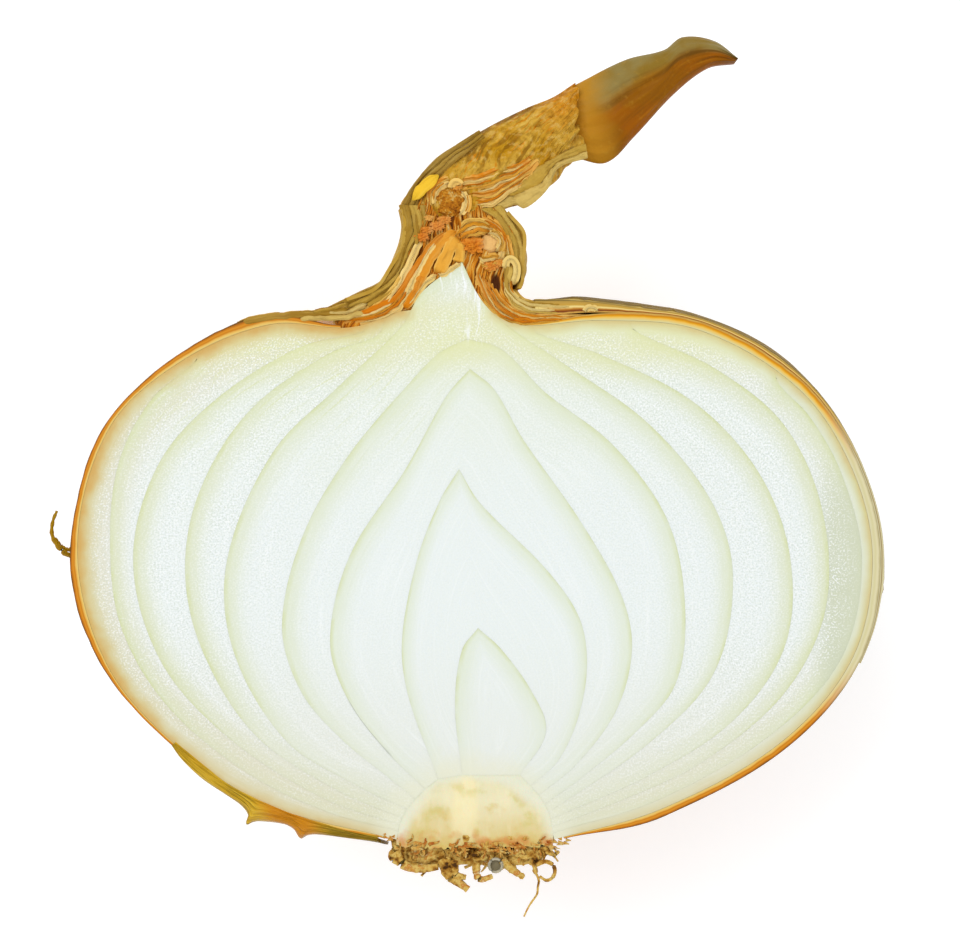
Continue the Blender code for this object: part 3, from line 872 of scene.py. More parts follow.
class Bench:
    """Blender's own modelling tools, for one mesh at a time."""

    @staticmethod
    def only(piece: bpy.types.Object) -> None:
        """Selects one object and nothing else."""
        bpy.ops.object.select_all(action="DESELECT")
        piece.select_set(True)
        bpy.context.view_layer.objects.active = piece

    @staticmethod
    def named(name: str) -> bpy.types.Object:
        """Names the object that Blender has just made, and its mesh."""
        made = bpy.context.object
        made.name = name
        made.data.name = name
        return made

    @staticmethod
    def grid(
        name: str, columns: int, rows: int, place: Callable[[int, int], Placed],
    ) -> bpy.types.Object:
        """A grid primitive, each of whose points is put by a rule.

        Args:
            name: the piece's name.
            columns: how many faces wide.
            rows: how many faces high.
            place: gives a point in millimetres and its flow, by column and row.

        Returns:
            The open sheet.
        """
        bpy.ops.object.select_all(action="DESELECT")
        bpy.ops.mesh.primitive_grid_add(x_subdivisions=columns, y_subdivisions=rows, size=1)
        made = Bench.named(name)
        flow = made.data.attributes.new(FLOW, "FLOAT_VECTOR", "POINT")
        for vertex in made.data.vertices:
            column = round((vertex.co.x + 0.5) * columns)
            row = round((vertex.co.y + 0.5) * rows)
            point, pattern = place(column, row)
            vertex.co = point * MM
            flow.data[vertex.index].vector = pattern
        return made

    @classmethod
    def seal(cls, piece: bpy.types.Object, rims: Sequence[Sequence[int]] = ()) -> None:
        """Merges what meets, closes the rims and turns the faces outwards.

        Args:
            piece: the mesh object.
            rims: faces to add, as numbers of points.
        """
        cls.only(piece)
        bpy.ops.object.mode_set(mode="EDIT")
        shape = bmesh.from_edit_mesh(piece.data)
        shape.verts.ensure_lookup_table()
        for rim in rims:
            shape.faces.new([shape.verts[i] for i in rim])
        bmesh.update_edit_mesh(piece.data)
        bpy.ops.mesh.select_all(action="SELECT")
        bpy.ops.mesh.remove_doubles(threshold=MERGE)
        bpy.ops.mesh.select_all(action="SELECT")
        bpy.ops.mesh.normals_make_consistent(inside=False)
        bpy.ops.object.mode_set(mode="OBJECT")

    @classmethod
    def wall(cls, piece: bpy.types.Object, thickness: float, centre: Vector) -> None:
        """Gives an open sheet a wall that grows towards a centre.

        Args:
            piece: the sheet.
            thickness: wall in millimetres.
            centre: a point inside, in millimetres.
        """
        cls.only(piece)
        face = max(piece.data.polygons, key=lambda found: found.area)
        if face.normal.dot(face.center - centre * MM) < 0:
            bpy.ops.object.mode_set(mode="EDIT")
            bpy.ops.mesh.select_all(action="SELECT")
            bpy.ops.mesh.flip_normals()
            bpy.ops.object.mode_set(mode="OBJECT")
        solid = piece.modifiers.new("Wall", "SOLIDIFY")
        solid.thickness = thickness * MM
        solid.offset = -1
        bpy.ops.object.modifier_apply(modifier=solid.name)

    @classmethod
    def smooth(cls, piece: bpy.types.Object, degrees: float = EDGE) -> None:
        """Shades smooth, but for edges sharper than an angle."""
        cls.only(piece)
        bpy.ops.object.shade_smooth_by_angle(angle=math.radians(degrees))

    @classmethod
    def closed(
        cls, name: str, columns: int, rows: int, place: Callable[[int, int], Placed],
        rims: Sequence[Sequence[int]] = (),
    ) -> bpy.types.Object:
        """A grid made one closed, smooth mesh.

        Args:
            name: the piece's name.
            columns: how many faces wide.
            rows: how many faces high.
            place: gives a point in millimetres and its flow, by column and row.
            rims: faces to add, as numbers of points.

        Returns:
            The closed mesh object.
        """
        made = cls.grid(name, columns, rows, place)
        cls.seal(made, rims)
        cls.smooth(made)
        return made

    @classmethod
    def join(
        cls, name: str, pieces: Sequence[bpy.types.Object], degrees: float = EDGE,
    ) -> bpy.types.Object:
        """Makes several meshes one piece, smooth but for edges sharper than an angle."""
        cls.only(pieces[0])
        for piece in pieces:
            piece.select_set(True)
        bpy.ops.object.join()
        made = cls.named(name)
        cls.smooth(made, degrees)
        return made

    @classmethod
    def tube(
        cls, name: str, path: Line, radii: Sequence[float], sides: int = 8,
        layer: float = 0.0,
    ) -> bpy.types.Object:
        """A closed tube along a path.

        Args:
            name: the piece's name.
            path: points in millimetres.
            radii: the tube's radius at each point.
            sides: how many sides it has.
            layer: third value of its flow.

        Returns:
            The tube.
        """
        last = len(path) - 1
        lengths = length_to(path)

        def place(column: int, row: int) -> Placed:
            """Puts a point on the ring of its row, the end rows at the ring's centre."""
            at = min(max(row - 1, 0), last)
            way = (path[min(at + 1, last)] - path[max(at - 1, 0)]).normalized()
            side = way.orthogonal().normalized()
            other = way.cross(side)
            angle = 2 * math.pi * (column % sides) / sides
            radius = 0.0 if row in (0, last + 2) else radii[at]
            point = path[at] + (side * math.cos(angle) + other * math.sin(angle)) * radius
            return point, Vector((angle, lengths[at], layer))

        made = cls.grid(name, sides, last + 2, place)
        cls.seal(made)
        return made


@dataclass(frozen=True)
class Section:
    """The ring of points round a half shell: outer side, left cut, inner side, right cut."""

    steps: int
    strips: int

    @property
    def columns(self) -> int:
        """How many points the ring has."""
        return 2 * (self.steps + self.strips)

    def at(self, column: int) -> Point:
        """Where a point of the ring lies.

        Args:
            column: which point.

        Returns:
            Its share of the way round, and of the way from the outer to the inner side.
        """
        steps, strips = self.steps, self.strips
        column %= self.columns
        if column <= steps:
            return column / steps, 0.0
        if column < steps + strips:
            return 1.0, (column - steps) / strips
        if column <= 2 * steps + strips:
            return (2 * steps + strips - column) / steps, 1.0
        return 0.0, (self.columns - column) / strips

    def rims(self, *rows: int) -> list[list[int]]:
        """Faces that close a shell at some of its rows, as numbers of its points."""
        steps, strips = self.steps, self.strips
        rims = []
        for row in rows:
            start = row * (self.columns + 1)
            for step in range(steps):
                inner = 2 * steps + strips - step
                ring = [step, step + 1]
                if step == steps - 1:
                    ring += range(steps + 1, steps + strips)
                ring += [inner - 1, inner]
                if step == 0:
                    ring += range(inner + 1, self.columns)
                rims.append([start + i for i in ring])
        return rims


def dress(
    piece: bpy.types.Object, material: bpy.types.Material, slot: Slot, *nodes: str,
) -> None:
    """Gives a piece its finish and its place in the frame.

    Args:
        piece: the finished piece.
        material: its material.
        slot: the record's slot, not used.
        *nodes: the frame's nodes that it stands for.
    """
    piece.data.materials.clear()
    piece.data.materials.append(material)
    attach(piece, "root")
    if nodes:
        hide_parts(*nodes)
    LOG.info("%s: %d faces", piece.name, len(piece.data.polygons))


# Sub-assemblies

FLESH_LEFT = Outline((
    (-6.5, 24.3), (-12, 22.5), (-20, 22.8), (-29, 19.0), (-36, 12.3), (-39, 0.5),
    (-36, -11), (-29, -19), (-20, -24.8), (-7.3, -28.2),
))
FLESH_RIGHT = Outline((
    (2.6, 24.1), (5.3, 22.9), (13, 23.4), (23, 22.4), (32.8, 16.6), (38.2, 8.5),
    (40.2, -0.5), (38.1, -10.5), (30.8, -18.9), (19, -25.4), (8.4, -28.4),
))
SKIN_LEFT = (
    (-13.0, 24.6), (-18.5, 24.5), (-24, 23.1), (-32, 18.1), (-37.5, 11.5), (-40.1, 1),
    (-39.2, -6), (-36, -12.6), (-29.8, -19.2), (-21, -25.6), (-14, -28.0), (-8.3, -29.2),
)


@dataclass
class Flesh:
    """The nested fleshy scales and the bud in their middle."""

    gap: float = 0.004
    swell: Point = (0.25, 0.05)
    rows: int = 96
    turns: int = 40
    strips: int = 10
    groove: float = 0.008
    deepest: float = 38.3
    neck_scale: int = 3
    shoulder_left: tuple[float, ...] = (-27.2, -10.4, -8.4)
    shoulder_right: tuple[float, ...] = (30.6, 16.0, 6.2)
    neck_left: Point = (-5.9, 24.5)
    neck_right: Point = (2.4, 24.3)
    left: tuple[Outline, ...] = (
        Outline((
            (-27.4, 19.4), (-32, 15.4), (-35.2, 9), (-36, 0.5), (-34.8, -7.5),
            (-30.2, -15.2), (-22, -22), (-14, -25.8), (-7.2, -27.6),
        )),
        Outline((
            (-10.7, 22.3), (-17, 20.8), (-25.5, 15.5), (-31.2, 9), (-33.7, -0.5),
            (-31, -10.5), (-24.5, -18), (-15, -24.2), (-7.1, -27.0),
        )),
        Outline((
            (-9.2, 22.0), (-14, 20.2), (-22, 14.5), (-27, 6.5), (-28.5, -1.5),
            (-26.8, -9.5), (-21.5, -18), (-13, -23.7), (-6.8, -26.3),
        )),
        Outline((
            (-0.8, 29.3), (-4.8, 26.3), (-6.9, 22.8), (-13, 17), (-19.7, 10.3),
            (-24.3, -0.5), (-23.7, -9.5), (-18.5, -18.5), (-11.5, -23.0), (-6.3, -25.4),
        )),
        Outline((
            (-0.3, 21.6), (-3.1, 20.2), (-6.5, 16.7), (-12.2, 9.9), (-16.7, 2),
            (-18.8, -7), (-17, -13.5), (-13, -18.3), (-8, -22.4), (-5.5, -24.4),
        )),
        Outline((
            (0.0, 18.6), (-2.3, 16), (-6.5, 8.5), (-12, 0), (-14, -8.5),
            (-12.3, -14.3), (-8.5, -19.5), (-4.5, -23.4),
        )),
        Outline((
            (-1.1, 8.6), (-3, 5.5), (-5.3, -0.5), (-6.8, -8.5), (-6.2, -14), (-3.2, -22.4),
        )),
        Outline(((0.8, -7.3), (-0.8, -9.5), (-1.5, -15), (-0.8, -22.0))),
    )
    right: tuple[Outline, ...] = (
        Outline((
            (30.8, 17.2), (34, 13.8), (37.2, 8), (39.2, -0.5), (37.2, -10.2),
            (30.2, -17.9), (18.8, -24.5), (8.3, -27.8),
        )),
        Outline((
            (16.5, 22.4), (24.6, 18.6), (31.5, 12.9), (35.3, 4.2), (35.5, -5.7),
            (31.3, -14), (23.1, -20.8), (15, -24.6), (8.2, -27.2),
        )),
        Outline((
            (6.6, 22.2), (13.4, 19.9), (22.5, 15.2), (28.9, 8.2), (32, -0.1),
            (31.5, -9.1), (26.4, -16.5), (18, -22), (8.1, -26.4),
        )),
        Outline((
            (-0.8, 29.3), (1.2, 25.4), (4.2, 22.6), (9.3, 19.2), (17.9, 13.1),
            (24.3, 5.1), (26.3, -2.3), (24.4, -11.8), (17.8, -18.9), (7.9, -25.7),
        )),
        Outline((
            (-0.3, 21.6), (3.1, 20.6), (7.6, 16.2), (14.3, 11), (19.7, 3.6),
            (21.5, -5), (20.6, -12.8), (16.6, -17.7), (11, -22.4), (7.5, -24.9),
        )),
        Outline((
            (0.0, 18.6), (2.4, 16.6), (5.3, 11.6), (11.1, 3.3), (15.1, -3.9),
            (16.2, -9.4), (14.6, -15.6), (10.6, -21), (6.9, -24.0),
        )),
        Outline((
            (-1.1, 8.6), (1.0, 5.2), (7.5, -1.3), (10.9, -6.2), (11.7, -11),
            (10.8, -16.3), (8.8, -20.6), (6.1, -23.1),
        )),
        Outline(((0.8, -7.3), (3.1, -9.4), (6.2, -13.7), (7.6, -17.7), (5.0, -22.0))),
    )

    def __post_init__(self) -> None:
        """Notes where the flesh ends, for the tints under the skin."""
        self.whole_left = moved_out(FLESH_LEFT.points(DENSE), self.swell[0], -1)
        self.whole_right = moved_out(FLESH_RIGHT.points(DENSE), self.swell[1], 1)
        ends = self.whole_left + self.whole_right
        self.skin_side = kdtree.KDTree(len(ends))
        for i, point in enumerate(ends):
            self.skin_side.insert((point.x, point.y, 0.0), i)
        self.skin_side.balance()

    def _side(
        self, number: int, lines: tuple[Outline, ...], whole: Line,
        shoulders: tuple[float, ...], neck_top: Point, outward_x: int,
    ) -> tuple[Line, Line]:
        """The outer and inner line of one scale on one side.

        Args:
            number: the scale, 0 for the outermost.
            lines: that side's lines between scales.
            whole: that side's outline of the whole flesh.
            shoulders: where the outer lines meet the shoulder.
            neck_top: where the flesh leaves the neck.
            outward_x: 1 on the right, -1 on the left.

        Returns:
            The outer and the inner line, row by row.
        """
        rows = self.rows
        upper = [point for point in whole if point.y > 0]
        tops = [min(upper, key=lambda point: abs(point.x - x)) for x in shoulders]
        dense = lines[self.neck_scale].points(1600)
        leaves = min(range(600), key=lambda i: (dense[i] - Vector(neck_top)).length)
        tops.append(dense[leaves])

        def seam(line: int, count: int) -> Line:
            """A line between scales, up to where it meets the shoulder."""
            if line == self.neck_scale:
                return spaced(dense[leaves:], count)
            knots = lines[line].knots
            if line < len(tops):
                knots = (tuple(tops[line]),) + knots
            return Outline(knots).points(count)

        inner = seam(number, rows)
        if number == 0:
            outer = spaced([p for p in whole if p.y < 0 or abs(p.x) >= abs(tops[0].x)], rows)
        elif number <= self.neck_scale:
            shoulder = [tops[number]] + stretch_of(whole, tops[number].x, tops[number - 1].x)
            bare_length = length_to(shoulder)[-1]
            seam_length = length_to(seam(number - 1, rows))[-1]
            bare = max(3, round(rows * bare_length / (bare_length + seam_length)))
            outer = spaced(shoulder, bare) + seam(number - 1, rows - bare)
        else:
            outer = lines[number - 1].points(rows)
        half = self.gap / 2
        return moved_out(outer, -half, outward_x), moved_out(inner, half, outward_x)

    @staticmethod
    def _meet(left: Line, right: Line, rise: float) -> None:
        """Gives two lines one shared top point."""
        x = (left[0].x + right[0].x) / 2
        left[0] = Vector((x, max(left[0].y, right[0].y) + rise))
        right[0] = left[0].copy()

    def scale(self, number: int) -> bpy.types.Object:
        """Builds one half shell with its two cut faces.

        Args:
            number: the scale, 0 for the outermost.

        Returns:
            The closed mesh object.
        """
        left = self._side(
            number, self.left, self.whole_left, self.shoulder_left, self.neck_left, -1,
        )
        right = self._side(
            number, self.right, self.whole_right, self.shoulder_right, self.neck_right, 1,
        )
        if number > self.neck_scale:
            self._meet(left[0], right[0], -self.gap / 2)
            self._meet(left[1], right[1], self.gap / 2)
        else:
            left[1][0] = left[0][0].copy()
            right[1][0] = right[0][0].copy()
        section = Section(self.turns, self.strips)
        lengths = length_to(left[1])

        def place(column: int, row: int) -> Placed:
            """A point of the ring of its row."""
            share, across = section.at(column)
            outer = (left[0][row], right[0][row])
            inner = (left[1][row], right[1][row])
            widths = [(a - b).length for a, b in zip(outer, inner)]
            angle = math.pi * share
            out_point = half_turn(*outer, angle, self.deepest)
            in_point = half_turn(*inner, angle)
            point = out_point.lerp(in_point, across)
            width = widths[0] if share > 0.5 else widths[1]
            if share in (0.0, 1.0):
                edge = min(across, 1 - across) * width
                point.z -= self.groove * math.exp(-edge / GROOVE_FADE)
            rind = self.skin_side.find((point.x, point.y, 0.0))[2]
            return point, Vector((across * width, lengths[row], min(rind, DEEP)))

        return Bench.closed(
            f"fleshy_scale_{number + 1}_cut", section.columns, self.rows - 1, place,
            section.rims(self.rows - 1),
        )

    def bud(self) -> bpy.types.Object:
        """Builds the solid bud, flat on the cut face."""
        left = moved_out(self.left[-1].points(40), -self.gap / 2, -1)
        right = moved_out(self.right[-1].points(40), -self.gap / 2, 1)
        self._meet(left, right, -self.gap / 2)
        return half_solid("heart_bud_cut", left, right, 28, 14, self.groove, rind=DEEP)

    def build(self) -> None:
        """Builds and dresses every scale, outermost first, and the bud."""
        for number in range(len(self.left)):
            age = (1 - number / len(self.left)) ** 2
            finish = FleshFinish(f"flesh_{number + 1}", age, number == 1, number == 6)
            slot = Slot.OUTER_FLESH if number < self.neck_scale else Slot.INNER_FLESH
            node = f"fleshy_scale_{number + 1}"
            dress(self.scale(number), finish.material(), slot, node)
        finish = FleshFinish("flesh_bud", 0.0)
        dress(self.bud(), finish.material(), Slot.INNER_FLESH, "heart_bud")


def half_solid(
    name: str, left: Line, right: Line, turns: int, strips: int, groove: float,
    rough: float = 0.0, rind: float = 0.0, sink: float = 0.0, ribs: float = 0.0,
) -> bpy.types.Object:
    """A closed half-turned solid with a finely divided cut face.

    Args:
        name: the piece's name.
        left: left outline.
        right: right outline, with as many points.
        turns: steps round the back.
        strips: steps across the cut face.
        groove: how far the cut face falls off at its edge, in millimetres.
        rough: how far the surface is uneven, in millimetres.
        rind: third value of its flow, the edge's distance where it is 0.
        sink: how far its cut face lies below the others', in millimetres.
        ribs: how deep the ribs along its cut face are; with ribs its back is shallower and
            its flow starts with the share across.

    Returns:
        The closed mesh object.
    """
    columns = turns + strips
    rows = len(left) - 1
    lengths = length_to(left)

    def place(column: int, row: int) -> Placed:
        """Goes round the back from right to left, then over the cut face."""
        column %= columns
        at_left, at_right = left[row], right[row]
        width = (at_right - at_left).length
        if column <= turns:
            point = half_turn(at_left, at_right, math.pi * column / turns)
            share = 1 - column / turns
            edge = 0.0
        else:
            share = (column - turns) / strips
            flat = at_left.lerp(at_right, share)
            edge = min(share, 1 - share) * width
            point = Vector((flat.x, flat.y, CUT))
        if column in (0, turns) or column > turns:
            point.z -= groove * math.exp(-edge / GROOVE_FADE)
        point.z += rough * wrinkle(point.x * 0.9, point.y * 0.9, 3.0) - rough / 2 - sink
        if ribs:
            if 0 < column < turns:
                point.z = CUT - BED_DEPTH * (CUT - point.z)
            else:
                point.z += ribs * wrinkle(share * 38, lengths[row] * 0.3)
            return point, Vector((share, lengths[row], 0.0))
        return point, Vector((edge, lengths[row], rind or width))

    rims = [
        [row * (columns + 1) + i for i in range(columns)]
        for row in (0, rows) if (left[row] - right[row]).length > 1e-4
    ]
    return Bench.closed(name, columns, rows, place, rims)


@dataclass
class Base:
    """The root plate, its cork pad and the dried roots."""

    plate_left: Outline = Outline((
        (0.6, -22.3), (-3, -22.8), (-5.1, -24.4), (-6.4, -26.5), (-6.9, -28.4), (-6.9, -29.3),
    ))
    plate_right: Outline = Outline((
        (0.6, -22.3), (4.6, -22.6), (6.7, -24.4), (7.6, -26.5), (7.8, -28.4), (7.8, -29.3),
    ))
    cork_left: Outline = Outline((
        (-8.2, -27.9), (-7.9, -28.9), (-7.6, -29.9), (-6.4, -30.7), (-4.8, -31.1),
    ))
    cork_right: Outline = Outline((
        (8.7, -28.2), (8.3, -29.1), (8.1, -29.8), (7.2, -30.6), (5.6, -31.1),
    ))
    tuck: float = 0.9
    roots: int = 150
    root_steps: int = 7
    stub_steps: int = 22
    tatters: int = 46
    shreds: int = 20
    seed: int = 7
    axis: float = 0.4
    spread: float = 7.2
    stubs: tuple[tuple[tuple[Point, ...], float], ...] = (
        (((-2.6, -30.6), (-2.2, -32.0), (-1.0, -32.9), (-0.2, -33.5)), 0.62),
        (((-1.6, -30.8), (-1.4, -32.0), (-0.4, -32.3)), 0.5),
        (((0.6, -30.8), (0.9, -32.4), (2.2, -32.2)), 0.45),
        (((3.2, -30.6), (4.2, -31.5), (5.4, -32.3)), 0.5),
        (((-7.6, -29.8), (-6.6, -31.0), (-4.8, -31.4), (-3.2, -31.2)), 0.62),
        (((-7.2, -29.2), (-7.9, -30.2), (-7.1, -31.0)), 0.4),
        (((4.8, -29.0), (4.7, -29.9), (4.9, -30.8)), 0.36),
        (((6.2, -30.4), (6.5, -31.6), (6.9, -32.6), (6.8, -33.2), (6.7, -34.0), (6.0, -35.0),
          (5.6, -35.8), (5.4, -36.2)), 0.15),
        (((6.6, -31.0), (7.6, -30.7), (8.4, -31.2), (8.4, -32.1), (7.7, -32.6),
          (7.0, -32.2)), 0.26),
        (((7.6, -29.6), (8.4, -30.0), (8.9, -29.7)), 0.3),
    )
    ring: tuple[Point, float, float] = ((2.56, -31.0), 0.66, 0.14)

    def _roots(self) -> list[bpy.types.Object]:
        """The short curled roots, set by a seeded rule, as separate tubes."""
        draw = random.Random(self.seed)
        golden = math.pi * (3 - math.sqrt(5))
        steps = self.root_steps
        made = []
        for i in range(self.roots):
            reach = self.spread * math.sqrt((i + 0.5) / self.roots)
            angle = (i * golden) % math.pi
            depth = 0.2 + reach * math.sin(angle)
            x = self.axis + reach * math.cos(angle)
            heading = draw.uniform(-2.7, -0.45)
            turn = draw.uniform(-2.6, 2.6)
            tilt = draw.uniform(-0.5, 0.4)
            length = draw.uniform(0.7, 2.5) * (1.0 if depth < 1.5 else 1.2)
            at = Vector((x, draw.uniform(-30.3, -29.1), CUT - depth))
            path = [at.copy()]
            for k in range(steps):
                ahead = heading + turn * k / steps
                at += Vector((math.cos(ahead), math.sin(ahead), tilt)) * length / steps
                at.z = min(at.z, CUT - 0.1)
                path.append(at.copy())
            radius = draw.uniform(0.18, 0.5)
            radii = [radius * (1 - 0.6 * k / steps) * (1 + 0.25 * math.sin(4 * k + i))
                     for k in range(steps + 1)]
            made.append(Bench.tube(f"root_{i}", path, radii, 7))
        return made

    def _stubs(self) -> tuple[list[bpy.types.Object], list[bpy.types.Object]]:
        """The roots that show one by one, and the hollow one that is cut across."""
        made = []
        count = self.stub_steps
        for i, (knots, radius) in enumerate(self.stubs):
            path = [Vector((p.x, p.y, CUT - 0.35 + 0.2 * wrinkle(k * 0.4, i)))
                    for k, p in enumerate(Outline(knots).points(count))]
            radii = [radius * (1 - 0.45 * k / count) * (1 + 0.3 * wrinkle(k * 0.55, i * 3.0))
                     for k in range(count)]
            made.append(Bench.tube(f"stub_{i}", path, radii, 9))
        centre, radius, thick = self.ring
        path = [Vector((
            centre[0] + radius * math.cos(0.3 * k), centre[1] + radius * math.sin(0.3 * k),
            CUT + 0.3,
        )) for k in range(count)]
        # painted shade: a dark flat lump inside the ring stands for the shade in the hollow root
        hollow_shade = Vector((*centre, CUT - 0.2))
        return made, [
            Bench.tube("hollow_root", path, [thick] * count, 9, 1.0),
            pebble("shaded_root_hollow", hollow_shade, Vector((radius, radius, 0.2)), 0.1, 0.0),
        ]

    def _tatters(self) -> list[bpy.types.Object]:
        """Short torn shreds over the plate's lower edge."""
        draw = random.Random(self.seed + 4)
        made = []
        for i in range(self.tatters):
            x = draw.uniform(-7.6, 8.0)
            heading = draw.choice((-1, 1)) * draw.uniform(0.1, 1.3) - 0.5
            y = -29.1 + draw.uniform(-0.5, 0.35) + 0.3 * ease(abs(x - 0.2), 5, 8)
            at = Vector((x, y, CUT - 0.1))
            path = [at.copy()]
            for k in range(5):
                at += Vector((math.cos(heading), math.sin(heading) * 0.8, 0.15)) * 0.24
                heading += draw.uniform(-0.7, 0.7)
                path.append(at.copy())
            size = draw.uniform(0.12, 0.3)
            radii = [size * (1 - 0.15 * k) for k in range(6)]
            made.append(Bench.tube(f"tatter_{i}", path, radii, 6))
        for i in range(self.shreds):
            side = -1 if i % 2 else 1
            x = 0.1 + side * draw.uniform(7.4, 9.6)
            y = (-28.0 if side < 0 else -28.6) - 0.12 * (9.6 - abs(x)) + draw.uniform(-0.25, 0.25)
            along = draw.uniform(0.5, 1.0) * draw.choice((-1, 1))
            way = Vector((along, draw.uniform(-0.5, 0.3), 0.1))
            path = [Vector((x, y, CUT - 0.15)) + way * (0.2 * k) for k in range(5)]
            made.append(Bench.tube(f"shred_{i}", path, [0.2 * (1 - 0.2 * k) for k in range(5)], 6))
        return made

    def build(self) -> None:
        """Builds and dresses the plate, the pad and the roots."""
        left, right = (
            [point.lerp(moved, 0.5 + 0.5 * ease(point.y, -28.8, -26.6))
             for point, moved in zip(line, moved_out(line, self.tuck, way))]
            for line, way in ((self.plate_left.points(48), -1), (self.plate_right.points(48), 1))
        )
        left[0] = right[0] = (left[0] + right[0]) / 2
        plate = half_solid("basal_plate_cut", left, right, 30, 70, 0.02, 0.05, sink=0.02)
        for vertex in plate.data.vertices:
            x, y = vertex.co.x / MM, vertex.co.y / MM
            torn = 0.4 * wrinkle(x * 1.3, 5.2) + 0.35 * wrinkle(x * 4.1, 1.3) + 0.05
            vertex.co.y += MM * torn * (1 - ease(y, -29.2, -28.0))
        dress(plate, PlateFinish("plate_flesh_cut").material(), Slot.PLATE, "basal_plate")
        pad = half_solid(
            "cork_pad", self.cork_left.points(20), self.cork_right.points(20), 24, 60, 0.3, 1.2,
        )
        stubs, hollow = self._stubs()
        clump = Bench.join("root_clump", [pad] + self._roots() + stubs)
        tones = (
            tone(84, 52, 20), tone(170, 116, 38), tone(216, 170, 78), tone(232, 200, 112),
            tone(206, 132, 44), tone(240, 218, 156),
        )
        dress(clump, ClumpFinish("root_and_cork", tones).material(), Slot.ROOT, "roots")
        shreds = Bench.join("plate_tatters", self._tatters())
        tones = (
            tone(176, 84, 30), tone(214, 140, 56), tone(226, 182, 92), tone(240, 216, 150),
        )
        dress(shreds, ClumpFinish("torn_shreds", tones, 700.0).material(), Slot.ROOT)
        ring = Bench.join("hollow_root_end", hollow)
        # the first tone, taken by the lump, is the painted shade inside the hollow root; the second
        # is the root's pale ring
        cut_root = LeafFinish(
            "cut_root", (tone(96, 92, 82), tone(214, 206, 184)), dark=tone(90, 78, 60), shade=0.3,
        )
        dress(ring, cut_root.material(), Slot.ROOT)


